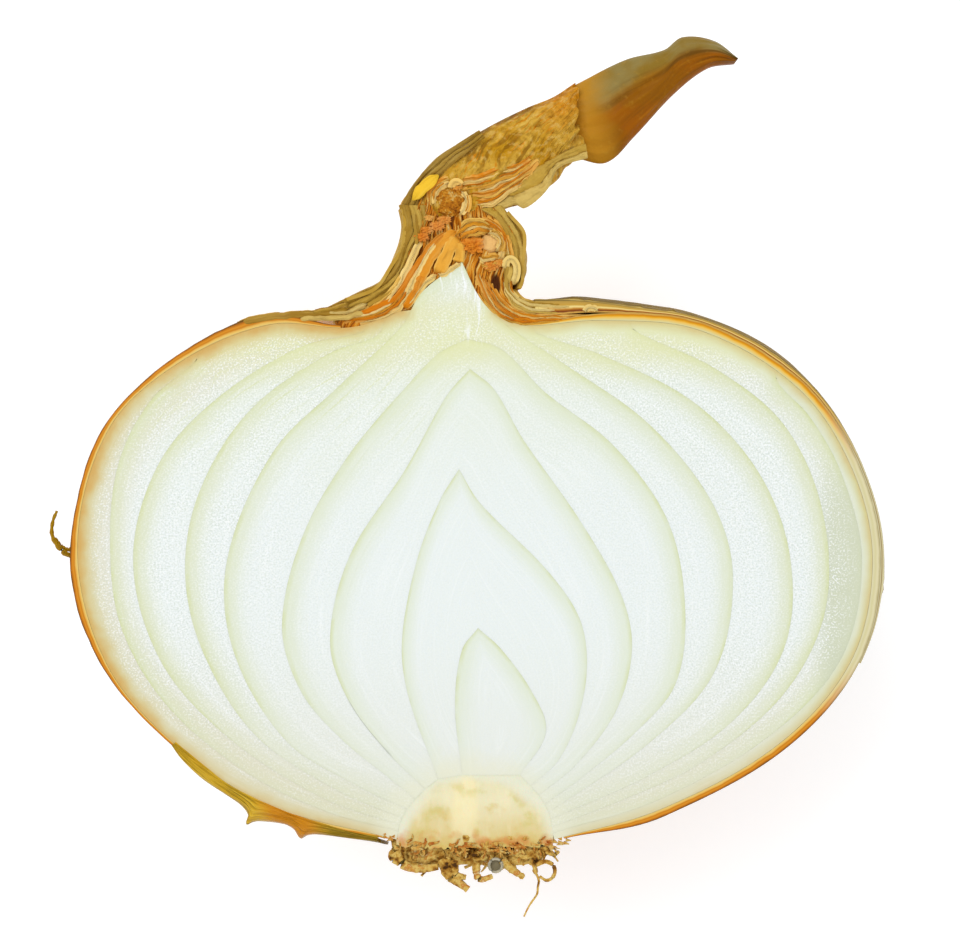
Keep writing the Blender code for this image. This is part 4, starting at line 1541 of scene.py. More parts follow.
@dataclass
class Skins:
    """The dry outer skins and what has torn off them."""

    wall: float = 0.5
    clearance: float = 0.35
    rows: int = 110
    strips: int = 6
    loose_right: Outline = Outline((
        (6.4, 26.2), (11.6, 26.1), (17.6, 25.3), (22.5, 24.4), (29, 21.8), (34, 17.8),
        (38, 12.5), (41.1, 5), (41.9, -1), (41.0, -6.6), (39.3, -10.9),
    ))
    flap_hinge: Outline = Outline((
        (-29.5, -18.8), (-26.6, -21.1), (-23.7, -23.2), (-19.2, -25.4), (-13.7, -27.2),
        (-9.2, -28.3),
    ))
    flap_edge: Outline = Outline((
        (-29.9, -19.1), (-29.0, -20.5), (-27.0, -22.5), (-24.3, -24.3), (-22.9, -25.3),
        (-22.3, -26.3), (-22.6, -27.2), (-22.0, -26.95), (-21.3, -26.8), (-18.8, -27.05),
        (-17.8, -27.6), (-17.15, -28.6), (-16.7, -28.3), (-15.6, -28.1), (-12.0, -28.45),
        (-9.4, -28.7),
    ))
    strands: tuple[tuple[Outline, float], ...] = (
        (Outline((
            (-39.7, -0.1), (-40.5, 0.1), (-41.4, 1.0), (-41.9, 2.1), (-41.8, 3.4), (-41.4, 4.4),
        )), 0.3),
        (Outline(((-39.7, 0.7), (-40.3, 0.5), (-41.0, 0.9), (-41.6, 1.7))), 0.24),
    )

    def _shell(
        self, name: str, outer: tuple[Line, Line], inner: tuple[Line, Line], ledges: Point,
        crumple: float, turn: float = math.pi, steps: int = 84, taper: float = 0.86,
    ) -> bpy.types.Object:
        """A half-turned skin whose widest level lies a little below the cut face.

        Args:
            name: the piece's name.
            outer: its left and right silhouette.
            inner: the lines of its inner side, with as many points.
            ledges: how far its cut edge stands back at the left and at the right.
            crumple: how deep its folds are.
            turn: how far round it goes, pi for all the way.
            steps: steps round the back.
            taper: how much thinner it gets towards its two ends.

        Returns:
            The closed mesh object.
        """
        rows = self.rows - 1
        section = Section(steps, self.strips)
        lengths = length_to(outer[1])
        full = turn >= math.pi

        def surface(share: float, row: int, across: float) -> Vector:
            """A point in the skin, so much of the way from its outer to its inner side."""
            eased = 0.5 - 0.5 * math.cos(math.pi * share) if full else share ** 1.7
            angle = turn * eased
            outside = half_turn(outer[0][row], outer[1][row], angle, CUT - 0.02)
            inside = half_turn(inner[0][row], inner[1][row], angle, CUT - self.wall)
            depth = CUT - outside.z
            ledge = ledges[1] if angle < math.pi / 2 else ledges[0]
            fold = abs(wrinkle(angle * 9, lengths[row] * 0.06, crumple)
                       + 0.5 * wrinkle(angle * 21, lengths[row] * 0.1))
            ragged = 1 + 0.5 * wrinkle(lengths[row] * 0.3, ledge)
            ragged += 0.5 * wrinkle(lengths[row] * 1.1, 9)
            resting = ease(outside.z, 0.3, 3.0) if depth > 20 else 1.0
            shift = ledge * (1 - ease(depth, 0.0, 2.6)) * ragged
            shift += crumple * fold * resting * ease(depth, 0.2, 2.0)
            thin = taper * (1 - ease(min(row, rows - row), 0, 12))
            wall = max((outside - inside).length, 0.01)
            outside = outside.lerp(inside, min(0.88, max(shift / wall, thin)))
            return outside.lerp(inside, across)

        def place(column: int, row: int) -> Placed:
            """A point of the ring of its row."""
            share, across = section.at(column)
            point = surface(share, row, across)
            angle = math.atan2(max(CUT - point.z, 0.0), point.x)
            return point, Vector((angle / math.pi, lengths[row], across))

        return Bench.closed(name, section.columns, rows, place, section.rims(0, rows))

    def build(self) -> None:
        """Builds and dresses the skins, the flap and the strip."""
        rows = self.rows
        flesh = Flesh()
        left = Outline(SKIN_LEFT).points(rows)
        knots = FLESH_RIGHT.knots[1:-1] + ((9.4, -28.6),)
        right = moved_out(Outline(knots).points(rows), self.clearance + self.wall, 1)
        inner = tuple(
            moved_out(nearest_on(line, whole), 0.02, way)
            for line, whole, way in ((left, flesh.whole_left, -1), (right, flesh.whole_right, 1))
        )
        dry = SkinFinish(
            "dry_skin_paper", tone(140, 84, 20), tone(200, 128, 32), tone(226, 172, 76),
            (tone(104, 70, 20), tone(196, 116, 22), tone(222, 146, 36), tone(206, 128, 22),
             tone(236, 190, 92), tone(228, 200, 120)),
            (tone(214, 176, 90), tone(204, 130, 20), tone(230, 162, 20), tone(240, 196, 92),
             tone(226, 204, 128), tone(220, 212, 158)),
            (tone(186, 172, 122), tone(226, 218, 176), tone(216, 208, 158), tone(222, 216, 176)),
        )
        skin = self._shell("dry_skin_fine", (left, right), inner, (0.12, 0.0), 0.2)
        dress(skin, dry.material(), Slot.DRY_SKIN, "dry_skin")

        far = moved_out(Outline(SKIN_LEFT[:8]).points(rows), 0.85, -1)
        loose = self.loose_right.points(rows)
        dense_right = moved_out(Outline(knots).points(DENSE), self.clearance + self.wall + 0.02, 1)
        clear = nearest_on(loose, moved_out(dense_right, 0.14, 1))
        loose = [max(pair, key=lambda found: found.length) for pair in zip(loose, clear)]
        close = nearest_on(loose, dense_right)
        under = [
            low.lerp(high, max(0.35, 1 - 0.7 / max((high - low).length, 0.01)))
            for low, high in zip(close, loose)
        ]
        old = SkinFinish(
            "old_skin_paper", tone(96, 78, 34), tone(142, 114, 50), tone(176, 148, 84),
            (tone(112, 88, 36), tone(140, 112, 50), tone(178, 148, 78), tone(232, 204, 122)),
            side_rim=(tone(126, 98, 52), tone(216, 204, 156), tone(232, 226, 184)),
            roughness=0.5, gloss=0.05,
        )
        near_far = moved_out(far, -0.5, -1)
        piece = self._shell(
            "loose_skin_fine", (far, loose), (near_far, under), (0.3, 0.62), 0.15,
            math.radians(58), 50,
        )
        dress(piece, old.material(), Slot.OLD_SKIN, "loose_skin")
        between = SkinFinish(
            "middle_skin_paper", tone(150, 90, 20), tone(200, 144, 40), tone(220, 176, 84),
            (tone(176, 142, 66), tone(196, 156, 70), tone(202, 158, 62), tone(244, 222, 142),
             tone(196, 130, 40), tone(112, 34, 4), tone(226, 176, 84)),
            side_rim=(tone(232, 226, 180), tone(150, 122, 72), tone(226, 220, 176)),
        )
        outer_line = [high.lerp(low, 0.04) for high, low in zip(under, close)]
        layer = self._shell(
            "middle_skin_fine", (near_far, outer_line), (moved_out(far, -0.8, -1), close),
            (0.0, 0.0), 0.05, math.radians(34), 34, 0.0,
        )
        dress(layer, between.material(), Slot.OLD_SKIN)

        yellow = SkinFinish(
            "yellow_skin_paper", tone(190, 124, 4), tone(226, 172, 20), tone(238, 196, 52),
            (tone(120, 84, 16), tone(222, 170, 30)), veins=3.0, roughness=0.3,
        )
        material = yellow.material()
        torn = FlapFinish("torn_flap_skin").material()
        dress(self._flap(), torn, Slot.YELLOW_SKIN, "torn_skin_flap")
        strands = []
        count = 24
        for i, (strand, radius) in enumerate(self.strands):
            path = [Vector((p.x, p.y, CUT - 0.6 - 0.2 * i)) for p in strand.points(count)]
            radii = [radius * (1 - 0.5 * k / (count - 1)) * (1 + 0.2 * math.sin(1.9 * k))
                     for k in range(count)]
            strands.append(Bench.tube(f"strand_{i}", path, radii, 10))
        curl = Bench.join("peel_strip_fine", strands)
        dress(curl, material, Slot.YELLOW_SKIN, "peel_strip")

    def _flap(self) -> bpy.types.Object:
        """The torn flap: a ledge out from the skin to its free edge, then down and back."""
        count = 110
        steps = 26
        brink = 0.42
        edge = self.flap_edge.points(count)
        against = moved_out(Outline(SKIN_LEFT[8:]).points(count), 0.3, -1)
        hinge = self.flap_hinge.points(count)
        lengths = length_to(edge)

        def place(column: int, row: int) -> Placed:
            """A point between the skin, the free edge and the flap's foot."""
            share = column / steps
            reach = 0.3 + 0.7 * math.sin(math.pi * row / (count - 1))
            if share <= brink:
                out = share / brink
                flat = hinge[row].lerp(edge[row], out)
                past = max(0.0, (flat - hinge[row]).length - 0.9)
                depth = -0.1 + 0.6 * past + (1.24 - 0.6 * past) * ease(out, 0.8, 1.0)
                depth += 0.07 * math.sin(out * 17 + 2 * wrinkle(lengths[row] * 0.2, 2)) * (1 - out)
            else:
                down = (share - brink) / (1 - brink)
                flat = edge[row].lerp(against[row], math.sqrt(down))
                depth = 1.14 + 9.0 * down * reach
                depth += 0.25 * wrinkle(lengths[row] * 0.25, 2) * (1 - down)
            inward = 1 - 0.5 * (depth / CUT) ** 2
            point = Vector((flat.x * inward, flat.y, CUT - depth))
            return point, Vector((share, lengths[row], 0.0))

        made = Bench.grid("torn_skin_flap_fine", steps, count - 1, place)
        Bench.wall(made, 0.3, Vector((0, 0, 0)))
        Bench.smooth(made)
        return made


@dataclass(frozen=True)
class Bundle:
    """Dry leaf strips, side by side between two edges, each domed and crinkled.

    level is how far the strips lie below the cut face, at their first and last row, dome
    how far each bulges, stray how far their borders wander, and layers the range of the
    finish's tones that they take.
    """

    name: str
    edges: tuple[Outline, Outline]
    strips: int
    level: tuple[float, float] = (0.0, 0.0)
    dome: float = 0.3
    crinkle: float = 0.1
    stray: float = 0.3
    layers: Point = (0.0, 1.0)
    wall: float = 0.2
    rows: int = 70

    def build(self) -> bpy.types.Object:
        """Builds the strips as one piece."""
        first, second = (edge.points(self.rows + 1) for edge in self.edges)
        lengths = length_to(first)
        pieces = []
        for i in range(self.strips):
            layer = self.layers[0] + (self.layers[1] - self.layers[0]) * ((i * GOLDEN) % 1)
            sunk = 0.25 * ((i * STAGGER) % 1)

            def place(column: int, row: int) -> Placed:
                """A point of the strip, between its two wandering borders."""
                t = row / self.rows
                share = column / STRIP_FACES
                borders = []
                for k in (i, i + 1):
                    inner = 0 < k < self.strips
                    wander = self.stray * wrinkle(k * 7.3, t * 4.0) if inner else 0.0
                    borders.append((k + wander) / self.strips)
                middle = (borders[0] + borders[1]) / 2
                at = middle + (borders[1] - borders[0]) * (share - 0.5) * 1.1
                flat = first[row].lerp(second[row], at)
                drop = self.level[0] + (self.level[1] - self.level[0]) * t
                bulge = self.dome * domed(share)
                ruck = self.crinkle * wrinkle(flat.x * 1.6, flat.y * 1.6, i * 3.0)
                ruck += self.crinkle * 0.6 * wrinkle(flat.x * 4.5, flat.y * 4.5, i * 5.0)
                z = CUT - drop - sunk + bulge + ruck
                return Vector((flat.x, flat.y, z)), Vector((share, lengths[row], layer))

            strip = Bench.grid(f"{self.name}_{i}", STRIP_FACES, self.rows, place)
            Bench.wall(strip, self.wall, FAR_BELOW)
            pieces.append(strip)
        made = Bench.join(self.name, pieces, LEAF_EDGE)
        return made


@dataclass(frozen=True)
class Fold:
    """One dry leaf seen on its cut edge: a domed strip along a path, narrow at its ends.

    path lies on the cut face, layer picks its tone, level is how far it lies below the cut
    face, ends is the share of its width that its ends keep, and taper the share of its
    length over which it narrows.
    """

    path: tuple[Point, ...]
    width: float
    layer: float
    level: float = 0.0
    dome: float = 0.28
    ends: float = 0.1
    rows: int = 44
    taper: float = 0.12

    def build(self, number: int) -> bpy.types.Object:
        """Builds the strip.

        Args:
            number: sets how it is crinkled.

        Returns:
            The closed strip.
        """
        centre = Outline(self.path).points(self.rows + 1)
        lengths = length_to(centre)
        stray = [0.12 * wrinkle(length * 1.1, number * 7.0) for length in lengths]

        def place(column: int, row: int) -> Placed:
            """A point across the strip."""
            t = row / self.rows
            share = column / STRIP_FACES
            way = centre[min(row + 1, self.rows)] - centre[max(row - 1, 0)]
            side = Vector((-way.y, way.x)).normalized()
            full = math.sqrt(ease(min(t, 1 - t), 0.0, self.taper))
            width = self.width * (self.ends + (1 - self.ends) * full)
            width *= 1 + 0.2 * wrinkle(lengths[row] * 1.6, number * 3.1)
            flat = centre[row] + side * (stray[row] + (share - 0.5) * width)
            bulge = self.dome * domed(share)
            ruck = 0.06 * wrinkle(flat.x * 3.0, flat.y * 3.0, number)
            z = CUT - self.level + (bulge + 0.5) * full - 0.5 + ruck
            return Vector((flat.x, flat.y, z)), Vector((share, lengths[row], self.layer))

        made = Bench.grid(f"fold_{number}", STRIP_FACES, self.rows, place)
        Bench.wall(made, 0.45, FAR_BELOW)
        return made


def fan(
    first: tuple[Point, ...], second: tuple[Point, ...], count: int, width: float,
    layers: tuple[float, ...], level: float = 0.0,
) -> tuple[Fold, ...]:
    """Thin leaf edges laid side by side between two paths.

    Args:
        first: knots of the one path.
        second: knots of the other.
        count: how many leaf edges.
        width: how wide they are, in millimetres.
        layers: their places in the finish's tones, taken in turn.
        level: how far they lie below the cut face.

    Returns:
        The leaf edges.
    """
    near, far = (Outline(knots).points(9) for knots in (first, second))
    folds = []
    for i in range(count):
        start = round(1.8 * abs(wrinkle(i * 2.31 + 0.4, count + 0.3)))
        stop = 9 - round(2.4 * abs(wrinkle(i * 3.73 + 0.6, width * 9.1)))
        path = []
        for k in range(start, stop):
            stray = 0.45 / count * wrinkle(k * 0.93 + 0.3, i * 5.13 + 0.2, count * 0.7)
            path.append(tuple(near[k].lerp(far[k], (i + 0.5) / count + stray)))
        size = width * (0.75 + 0.5 * ((i * GOLDEN) % 1))
        sunk = level + 0.14 * ((i * STAGGER) % 1)
        folds.append(Fold(
            tuple(path), size, layers[i % len(layers)], sunk, 0.5 * size, 0.04, 56, 0.34,
        ))
    return tuple(folds)


def arc(centre: Point, radius: float, first: float, last: float) -> tuple[Point, ...]:
    """Knots on an arc, its two angles in degrees."""
    angles = [math.radians(first + (last - first) * i / 6) for i in range(7)]
    return tuple(
        (centre[0] + radius * math.cos(a), centre[1] + radius * math.sin(a)) for a in angles
    )


def pebble(
    name: str, centre: Vector, radii: Vector, rough: float, layer: float,
) -> bpy.types.Object:
    """A lumpy round mass, shaped from a sphere.

    Args:
        name: the piece's name.
        centre: its middle in millimetres.
        radii: its half sizes.
        rough: how far its surface is uneven.
        layer: its place in the finish's tones.

    Returns:
        The closed mass.
    """
    bpy.ops.object.select_all(action="DESELECT")
    bpy.ops.mesh.primitive_ico_sphere_add(subdivisions=5, radius=1)
    made = Bench.named(name)
    flow = made.data.attributes.new(FLOW, "FLOAT_VECTOR", "POINT")
    for vertex in made.data.vertices:
        way = vertex.co.normalized()
        lump = 1 + rough * (wrinkle(way.x * 2.4, way.y * 2.4, way.z * 2.4 + layer)
                            + 0.7 * wrinkle(way.x * 6, way.y * 6, way.z * 6))
        at = centre + Vector((way.x * radii.x, way.y * radii.y, way.z * radii.z)) * lump
        vertex.co = at * MM
        flow.data[vertex.index].vector = (0.5 + 0.4 * way.x, at.y, layer)
    return made


@dataclass
class Neck:
    """The dry leaf tops round the neck, the stalk and the leaf at its end."""

    wall: float = 0.35
    sheath: tuple[Outline, Outline] = (
        Outline(((-12.4, 25.7), (-9.3, 27.1), (-7.5, 30), (-6.7, 32.6), (-7.1, 34.6))),
        Outline(((5.1, 26.6), (5.4, 28.4), (5.6, 30.6), (5.4, 32.4), (3.8, 34.4))),
    )
    middle: tuple[Outline, Outline] = (
        Outline(((-10.2, 25.1), (-7.9, 26.6), (-6.0, 29.2), (-5.5, 31.8), (-5.7, 34.0))),
        Outline(((4.9, 25.2), (4.1, 26.8), (3.9, 29.4), (4.0, 31.8), (2.9, 34.0))),
    )
    bed: tuple[Outline, Outline] = (
        Outline((
            (-14.0, 22.3), (-12.6, 24.0), (-9.6, 24.9), (-7.6, 27.0), (-6.3, 30), (-5.9, 33),
            (-5.0, 35.6),
        )),
        Outline((
            (13.0, 22.5), (9.6, 24.0), (6.4, 24.6), (4.5, 26.0), (4.3, 28), (4.8, 30.6),
            (3.0, 35.2),
        )),
    )
    stalk: tuple[Outline, Outline] = (
        Outline((
            (-6.7, 33.9), (-7.1, 35.2), (-5.9, 36.9), (-3.2, 39.9), (1.2, 42.8), (5.5, 45),
            (8.4, 46.2),
            (10.4, 47.5),
        )),
        Outline((
            (2.6, 33.6), (3.4, 34.8), (5.2, 35.4), (7.2, 36.6), (8.9, 37.9), (9.6, 39.0),
            (10.2, 39.4),
            (10.9, 40.1),
        )),
    )
    tip: tuple[Outline, Outline] = (
        Outline(((10.3, 47.3), (15.7, 50), (19.6, 51), (21.5, 52.3), (24.7, 51.9), (27.1, 50.1))),
        Outline((
            (10.8, 40.0), (13.8, 39.6), (16.6, 42.2), (20.6, 46.5), (24.0, 49.1), (26.7, 49.6),
        )),
    )

    def _leaf(
        self, name: str, sides: tuple[Outline, Outline], crumple: float, layer: float,
    ) -> bpy.types.Object:
        """A half-turned leaf top with folds along it.

        Args:
            name: the piece's name.
            sides: its left and right outline.
            crumple: how deep its folds are, in millimetres.
            layer: its place in the finish's tones, 0 to 1.

        Returns:
            The walled sheet.
        """
        count, around = 50, 60
        left, right = (side.points(count) for side in sides)
        lengths = length_to(left)

        def place(column: int, row: int) -> Placed:
            """A point on the turned surface, folded."""
            angle = math.pi * column / around
            point = half_turn(left[row], right[row], angle)
            fold = crumple * (wrinkle(angle * 6, lengths[row] * 0.25, layer * 9)
                              + 0.6 * wrinkle(angle * 15, lengths[row] * 0.4, layer * 9))
            out = Vector((math.cos(angle), 0, -math.sin(angle)))
            point += out * fold
            point.z = min(point.z, CUT)
            return point, Vector((angle * 5, lengths[row], layer))

        made = Bench.grid(name, around, count - 1, place)
        Bench.wall(made, self.wall, Vector((-1, 20, CUT)))
        Bench.smooth(made)
        return made

    def _loft(
        self, name: str, sides: tuple[Outline, Outline], depth: float, lift: float,
        ripple: float, ragged: float = 0.0,
    ) -> bpy.types.Object:
        """A flattened closed tube between an upper and a lower outline.

        Args:
            name: the piece's name.
            sides: upper and lower outline.
            depth: its thickness in millimetres.
            lift: how far its middle is moved up.
            ripple: how deep its lengthwise folds are.
            ragged: how uneven its far end is.

        Returns:
            The closed mesh object.
        """
        count = 150
        around = 110
        upper, lower = (side.points(count) for side in sides)
        lengths = length_to(upper)

        def place(column: int, row: int) -> Placed:
            """A point on the ring of its row, the end rows drawn together."""
            at = min(max(row - 1, 0), count - 1)
            angle = 2 * math.pi * (column % around) / around
            middle = (upper[at] + lower[at]) / 2
            half = (upper[at] - lower[at]) / 2
            share = at / (count - 1)
            swell = min(1.0, 0.8 + math.sin(math.pi * share)) * depth / 2
            slant = math.cos(angle) * 4.5 - lengths[at] * 0.3 + wrinkle(lengths[at] * 0.2, 4.4)
            fold = ripple * (wrinkle(math.cos(angle) * 4, math.sin(angle) * 4, lengths[at] * 0.12)
                             + 0.5 * wrinkle(slant * 1.2, math.sin(angle), lengths[at] * 0.2)
                             + 0.35 * wrinkle(slant * 2.8, math.sin(angle) * 2, lengths[at] * 0.5))
            if row in (0, count + 1):
                half, swell, fold = half * 0.0, 0.0, 0.0
            flat = middle + half * math.cos(angle)
            ahead = (upper[min(at + 1, count - 1)] - upper[max(at - 1, 0)]).normalized()
            flat += ahead * ragged * wrinkle(math.cos(angle) * 4.3, 2.7) * ease(share, 0.8, 1.0)
            z = CUT - depth / 2 + lift + (swell + fold) * math.sin(angle)
            across = (math.cos(angle) + 1) / 2
            return Vector((flat.x, flat.y, z)), Vector((across, lengths[at], 0.5))

        return Bench.closed(name, around, count + 1, place)

    beige_bundles: tuple[Bundle, ...] = (
        Bundle("left_outer_leaf", (
            Outline((
                (-14.5, 24.7), (-11.0, 26.4), (-9.0, 27.4), (-7.7, 28.9), (-7.1, 30.8),
                (-6.6, 32.8), (-7.1, 35.0),
            )),
            Outline((
                (-13.4, 23.9), (-9.6, 25.0), (-7.6, 26.4), (-6.0, 28.6), (-4.8, 30.8),
                (-4.2, 32.6), (-4.3, 35.0),
            )),
        ), 3, (0.5, 0.3), 0.3, 0.2, 0.6, (0.1, 0.75)),
        Bundle("right_outer_leaf", (
            Outline(((1.0, 34.6), (2.6, 33.6), (3.7, 32.2), (4.2, 30.8), (4.4, 29.2), (4.3, 27.6))),
            Outline(((3.2, 35.0), (4.4, 33.2), (5.0, 32.2), (5.5, 30.4), (5.3, 28.8), (4.7, 27.1))),
        ), 2, (0.35, 0.5), 0.35, 0.2, 0.3, (0.5, 0.8)),
        Bundle("stalk_base_folds", (
            Outline(((-7.1, 34.6), (-5.9, 36.8), (-3.5, 39.6), (-1.0, 41.3), (0.9, 42.5))),
            Outline(((-5.2, 34.8), (-4.4, 36.6), (-2.6, 38.4), (-0.2, 40.4), (1.5, 41.8))),
        ), 3, (0.6, 0.1), 0.25, 0.15, 0.5, (0.0, 0.3)),
        Bundle("lower_stalk_leaf", (
            Outline((
                (0.8, 35.2), (2.6, 36.4), (5.0, 37.6), (7.4, 39.2), (9.6, 40.4), (11.6, 41.2),
            )),
            Outline((
                (2.0, 34.0), (4.4, 35.1), (5.4, 34.8), (6.8, 35.7), (7.9, 36.9), (8.9, 38.8),
                (11.8, 39.8),
            )),
        ), 2, (0.45, 0.6), 0.3, 0.3, 0.5, (0.55, 0.95)),
    )
    orange_folds: tuple[Fold, ...] = (
        Fold((
            (-11.6, 23.9), (-8.4, 25.2), (-7.2, 26.1), (-5.9, 28.1), (-4.6, 30.0), (-3.5, 31.4),
            (-2.1, 32.5),
        ), 0.62, 0.0),
        Fold((
            (-6.0, 26.0), (-4.9, 27.9), (-3.9, 29.8), (-2.8, 31.4), (-1.3, 32.4),
        ), 1.1, 0.2, 0.02, 0.1),
        Fold(((-6.6, 24.6), (-5.9, 25.6), (-5.2, 27.0), (-4.7, 28.2)), 0.85, 0.08, -0.06, 0.1, 0.5),
        Fold(((-3.2, 28.1), (-2.6, 29.4), (-1.9, 30.9), (-1.2, 31.8)), 1.35, 0.42, -0.04, 0.1, 0.5),
        Fold(((-1.2, 29.2), (-1.0, 30.2), (-1.1, 31.4)), 1.1, 0.5, -0.02, 0.1, 0.5),
        Fold(((-6.5, 24.5), (-5.4, 26.0), (-4.3, 27.35), (-3.2, 28.1)), 0.17, 0.95, -0.1, 0.08),
        Fold(((-6.5, 25.7), (-5.4, 28.0), (-4.3, 30.2), (-3.2, 31.6)), 0.16, 1.0, -0.2, 0.1),
        Fold(((-8.6, 24.6), (-7.1, 27.0), (-5.7, 29.9), (-4.9, 31.6)), 0.16, 0.95, -0.2, 0.1),
        Fold(((-3.3, 28.2), (-2.8, 28.0), (-1.9, 28.5), (-0.8, 29.3)), 0.16, 0.95, -0.1, 0.08),
        *fan(
            ((-13.4, 23.2), (-10.0, 23.3), (-7.4, 24.2), (-5.4, 27.2), (-4.2, 29.4)),
            ((-14.0, 23.8), (-10.6, 24.7), (-8.5, 25.9), (-6.7, 28.3), (-5.2, 31.2)),
            6, 0.26, (0.9, 0.0, 0.4, 1.0, 0.15, 0.7), -0.04,
        ),
        *fan(
            (
                (0.25, 30.2), (0.55, 28.2), (1.05, 26.3), (2.0, 24.6), (3.4, 23.5), (5.2, 23.05),
                (8, 23.3), (12, 23.45),
            ),
            (
                (1.7, 29.6), (1.8, 28.0), (2.6, 26.4), (3.7, 25.0), (5.2, 24.2), (7, 23.9),
                (9, 23.85), (12, 23.8),
            ),
            7, 0.24, (0.5, 0.0, 0.95, 0.1, 0.0, 0.8, 0.15), 0.0,
        ),
        *fan(
            ((0.9, 33.0), (1.9, 32.7), (2.8, 32.1), (3.2, 31.2), (3.1, 30.2), (2.6, 29.4)),
            ((0.5, 34.1), (1.9, 33.7), (3.1, 32.8), (3.8, 31.5), (4.1, 30.0), (3.9, 28.9)),
            6, 0.22, (0.9, 0.1, 0.6, 0.0, 0.9, 0.2), -0.12,
        ),
        *fan(
            ((0.6, 30.4), (1.4, 29.9), (2.4, 30.0), (3.2, 30.2)),
            ((1.0, 28.6), (1.8, 28.4), (2.6, 28.8), (3.4, 29.0)),
            5, 0.26, (0.4, 0.9, 0.0, 0.6, 0.2), 0.0,
        ),
        *fan(
            ((-1.7, 32.0), (-0.9, 33.0), (0.3, 33.6), (1.7, 33.3), (2.6, 32.6)),
            ((-1.0, 31.3), (0.0, 31.8), (0.8, 32.0), (1.5, 32.2), (2.0, 32.1)),
            5, 0.36, (0.7, 0.35, 0.9, 0.2, 0.6), -0.12,
        ),
        *fan(
            ((-3.3, 34.6), (-3.3, 35.9), (-2.6, 36.9), (-1.6, 37.3)),
            ((-4.1, 34.4), (-4.2, 36.0), (-3.0, 37.5), (-1.4, 38.0)),
            4, 0.2, (0.9, 0.2, 0.7, 0.1), -0.1,
        ),
        *fan(
            (
                (-1.8, 37.4), (-0.4, 37.8), (1.4, 38.1), (3.0, 38.8), (4.6, 39.1), (6.2, 40.2),
                (7.6, 41.6),
            ),
            (
                (-0.4, 34.4), (0.7, 35.1), (1.8, 34.8), (2.7, 35.2), (3.6, 36.0), (4.8, 36.8),
                (6.2, 37.9),
            ),
            9, 0.24, (0.1, 0.85, 0.0, 0.5, 0.95, 0.05, 0.7), -0.16,
        ),
        Fold(arc((2.05, 31.2), 0.95, -60, 110), 0.2, 0.95, -0.25),
        Fold(arc((2.05, 31.2), 1.2, -50, 95), 0.2, 0.6, -0.2),
        Fold(arc((-1.9, 35.3), 1.5, -60, 50), 0.14, 0.95, -0.3, 0.1),
        Fold(arc((-1.9, 35.3), 1.72, -40, 30), 0.14, 0.3, -0.2, 0.1),
        Fold(arc((-1.4, 36.8), 0.5, 0, 220), 0.13, 0.8, -0.3, 0.1),
    )
    beige_folds: tuple[Fold, ...] = (
        Fold(((3.9, 27.0), (3.95, 28.2), (4.1, 29.3)), 0.8, 0.7, 0.05, 0.1, 0.2, 44, 0.4),
        Fold((
            (4.35, 27.0), (4.7, 28.2), (4.6, 29.1), (4.1, 29.6), (3.65, 29.3), (3.5, 28.4),
        ), 0.13, 1.0, -0.2, 0.1),
        *fan(
            ((3.0, 28.6), (3.2, 26.9), (4.1, 25.4), (5.6, 24.4), (8, 24.15), (12, 24.0)),
            ((4.4, 27.6), (4.3, 26.6), (4.9, 25.8), (6.0, 25.3), (8, 25.2), (12, 25.0)),
            5, 0.3, (0.7, 1.0, 0.3, 0.9, 0.2), 0.02,
        ),
        Fold(((11.5, 24.2), (11.8, 24.65), (12.4, 24.7), (12.8, 24.3)), 0.2, 1.0, -0.15, 0.12),
        Fold(((-14.4, 24.2), (-12.2, 24.3), (-10.2, 25.2)), 0.3, 0.9),
        Fold((
            (-23.5, 23.1), (-20.5, 23.75), (-17.2, 24.05), (-14.2, 24.2), (-11.5, 24.6),
        ), 0.8, 0.05, 0.12),
        Fold(((-17.4, 23.6), (-14.6, 23.7), (-12.4, 23.8), (-10.2, 24.4)), 0.55, 0.8, 0.04),
        Fold(((-16.0, 24.2), (-13.8, 24.6), (-12.0, 25.2)), 0.3, 0.3),
    )
    lumps: tuple[tuple[Point, float, float], ...] = (
        ((-4.9, 31.8), 0.5, 0.0), ((-4.3, 32.5), 0.4, 0.1), ((-3.3, 32.9), 0.5, 0.05),
        ((-2.6, 33.5), 0.45, 0.15), ((-4.1, 33.7), 0.32, 0.6), ((0.4, 31.0), 0.85, 0.1),
        ((-1.4, 36.8), 0.42, 0.5), ((2.1, 28.9), 0.5, 0.05), ((3.0, 29.2), 0.4, 0.3),
    )

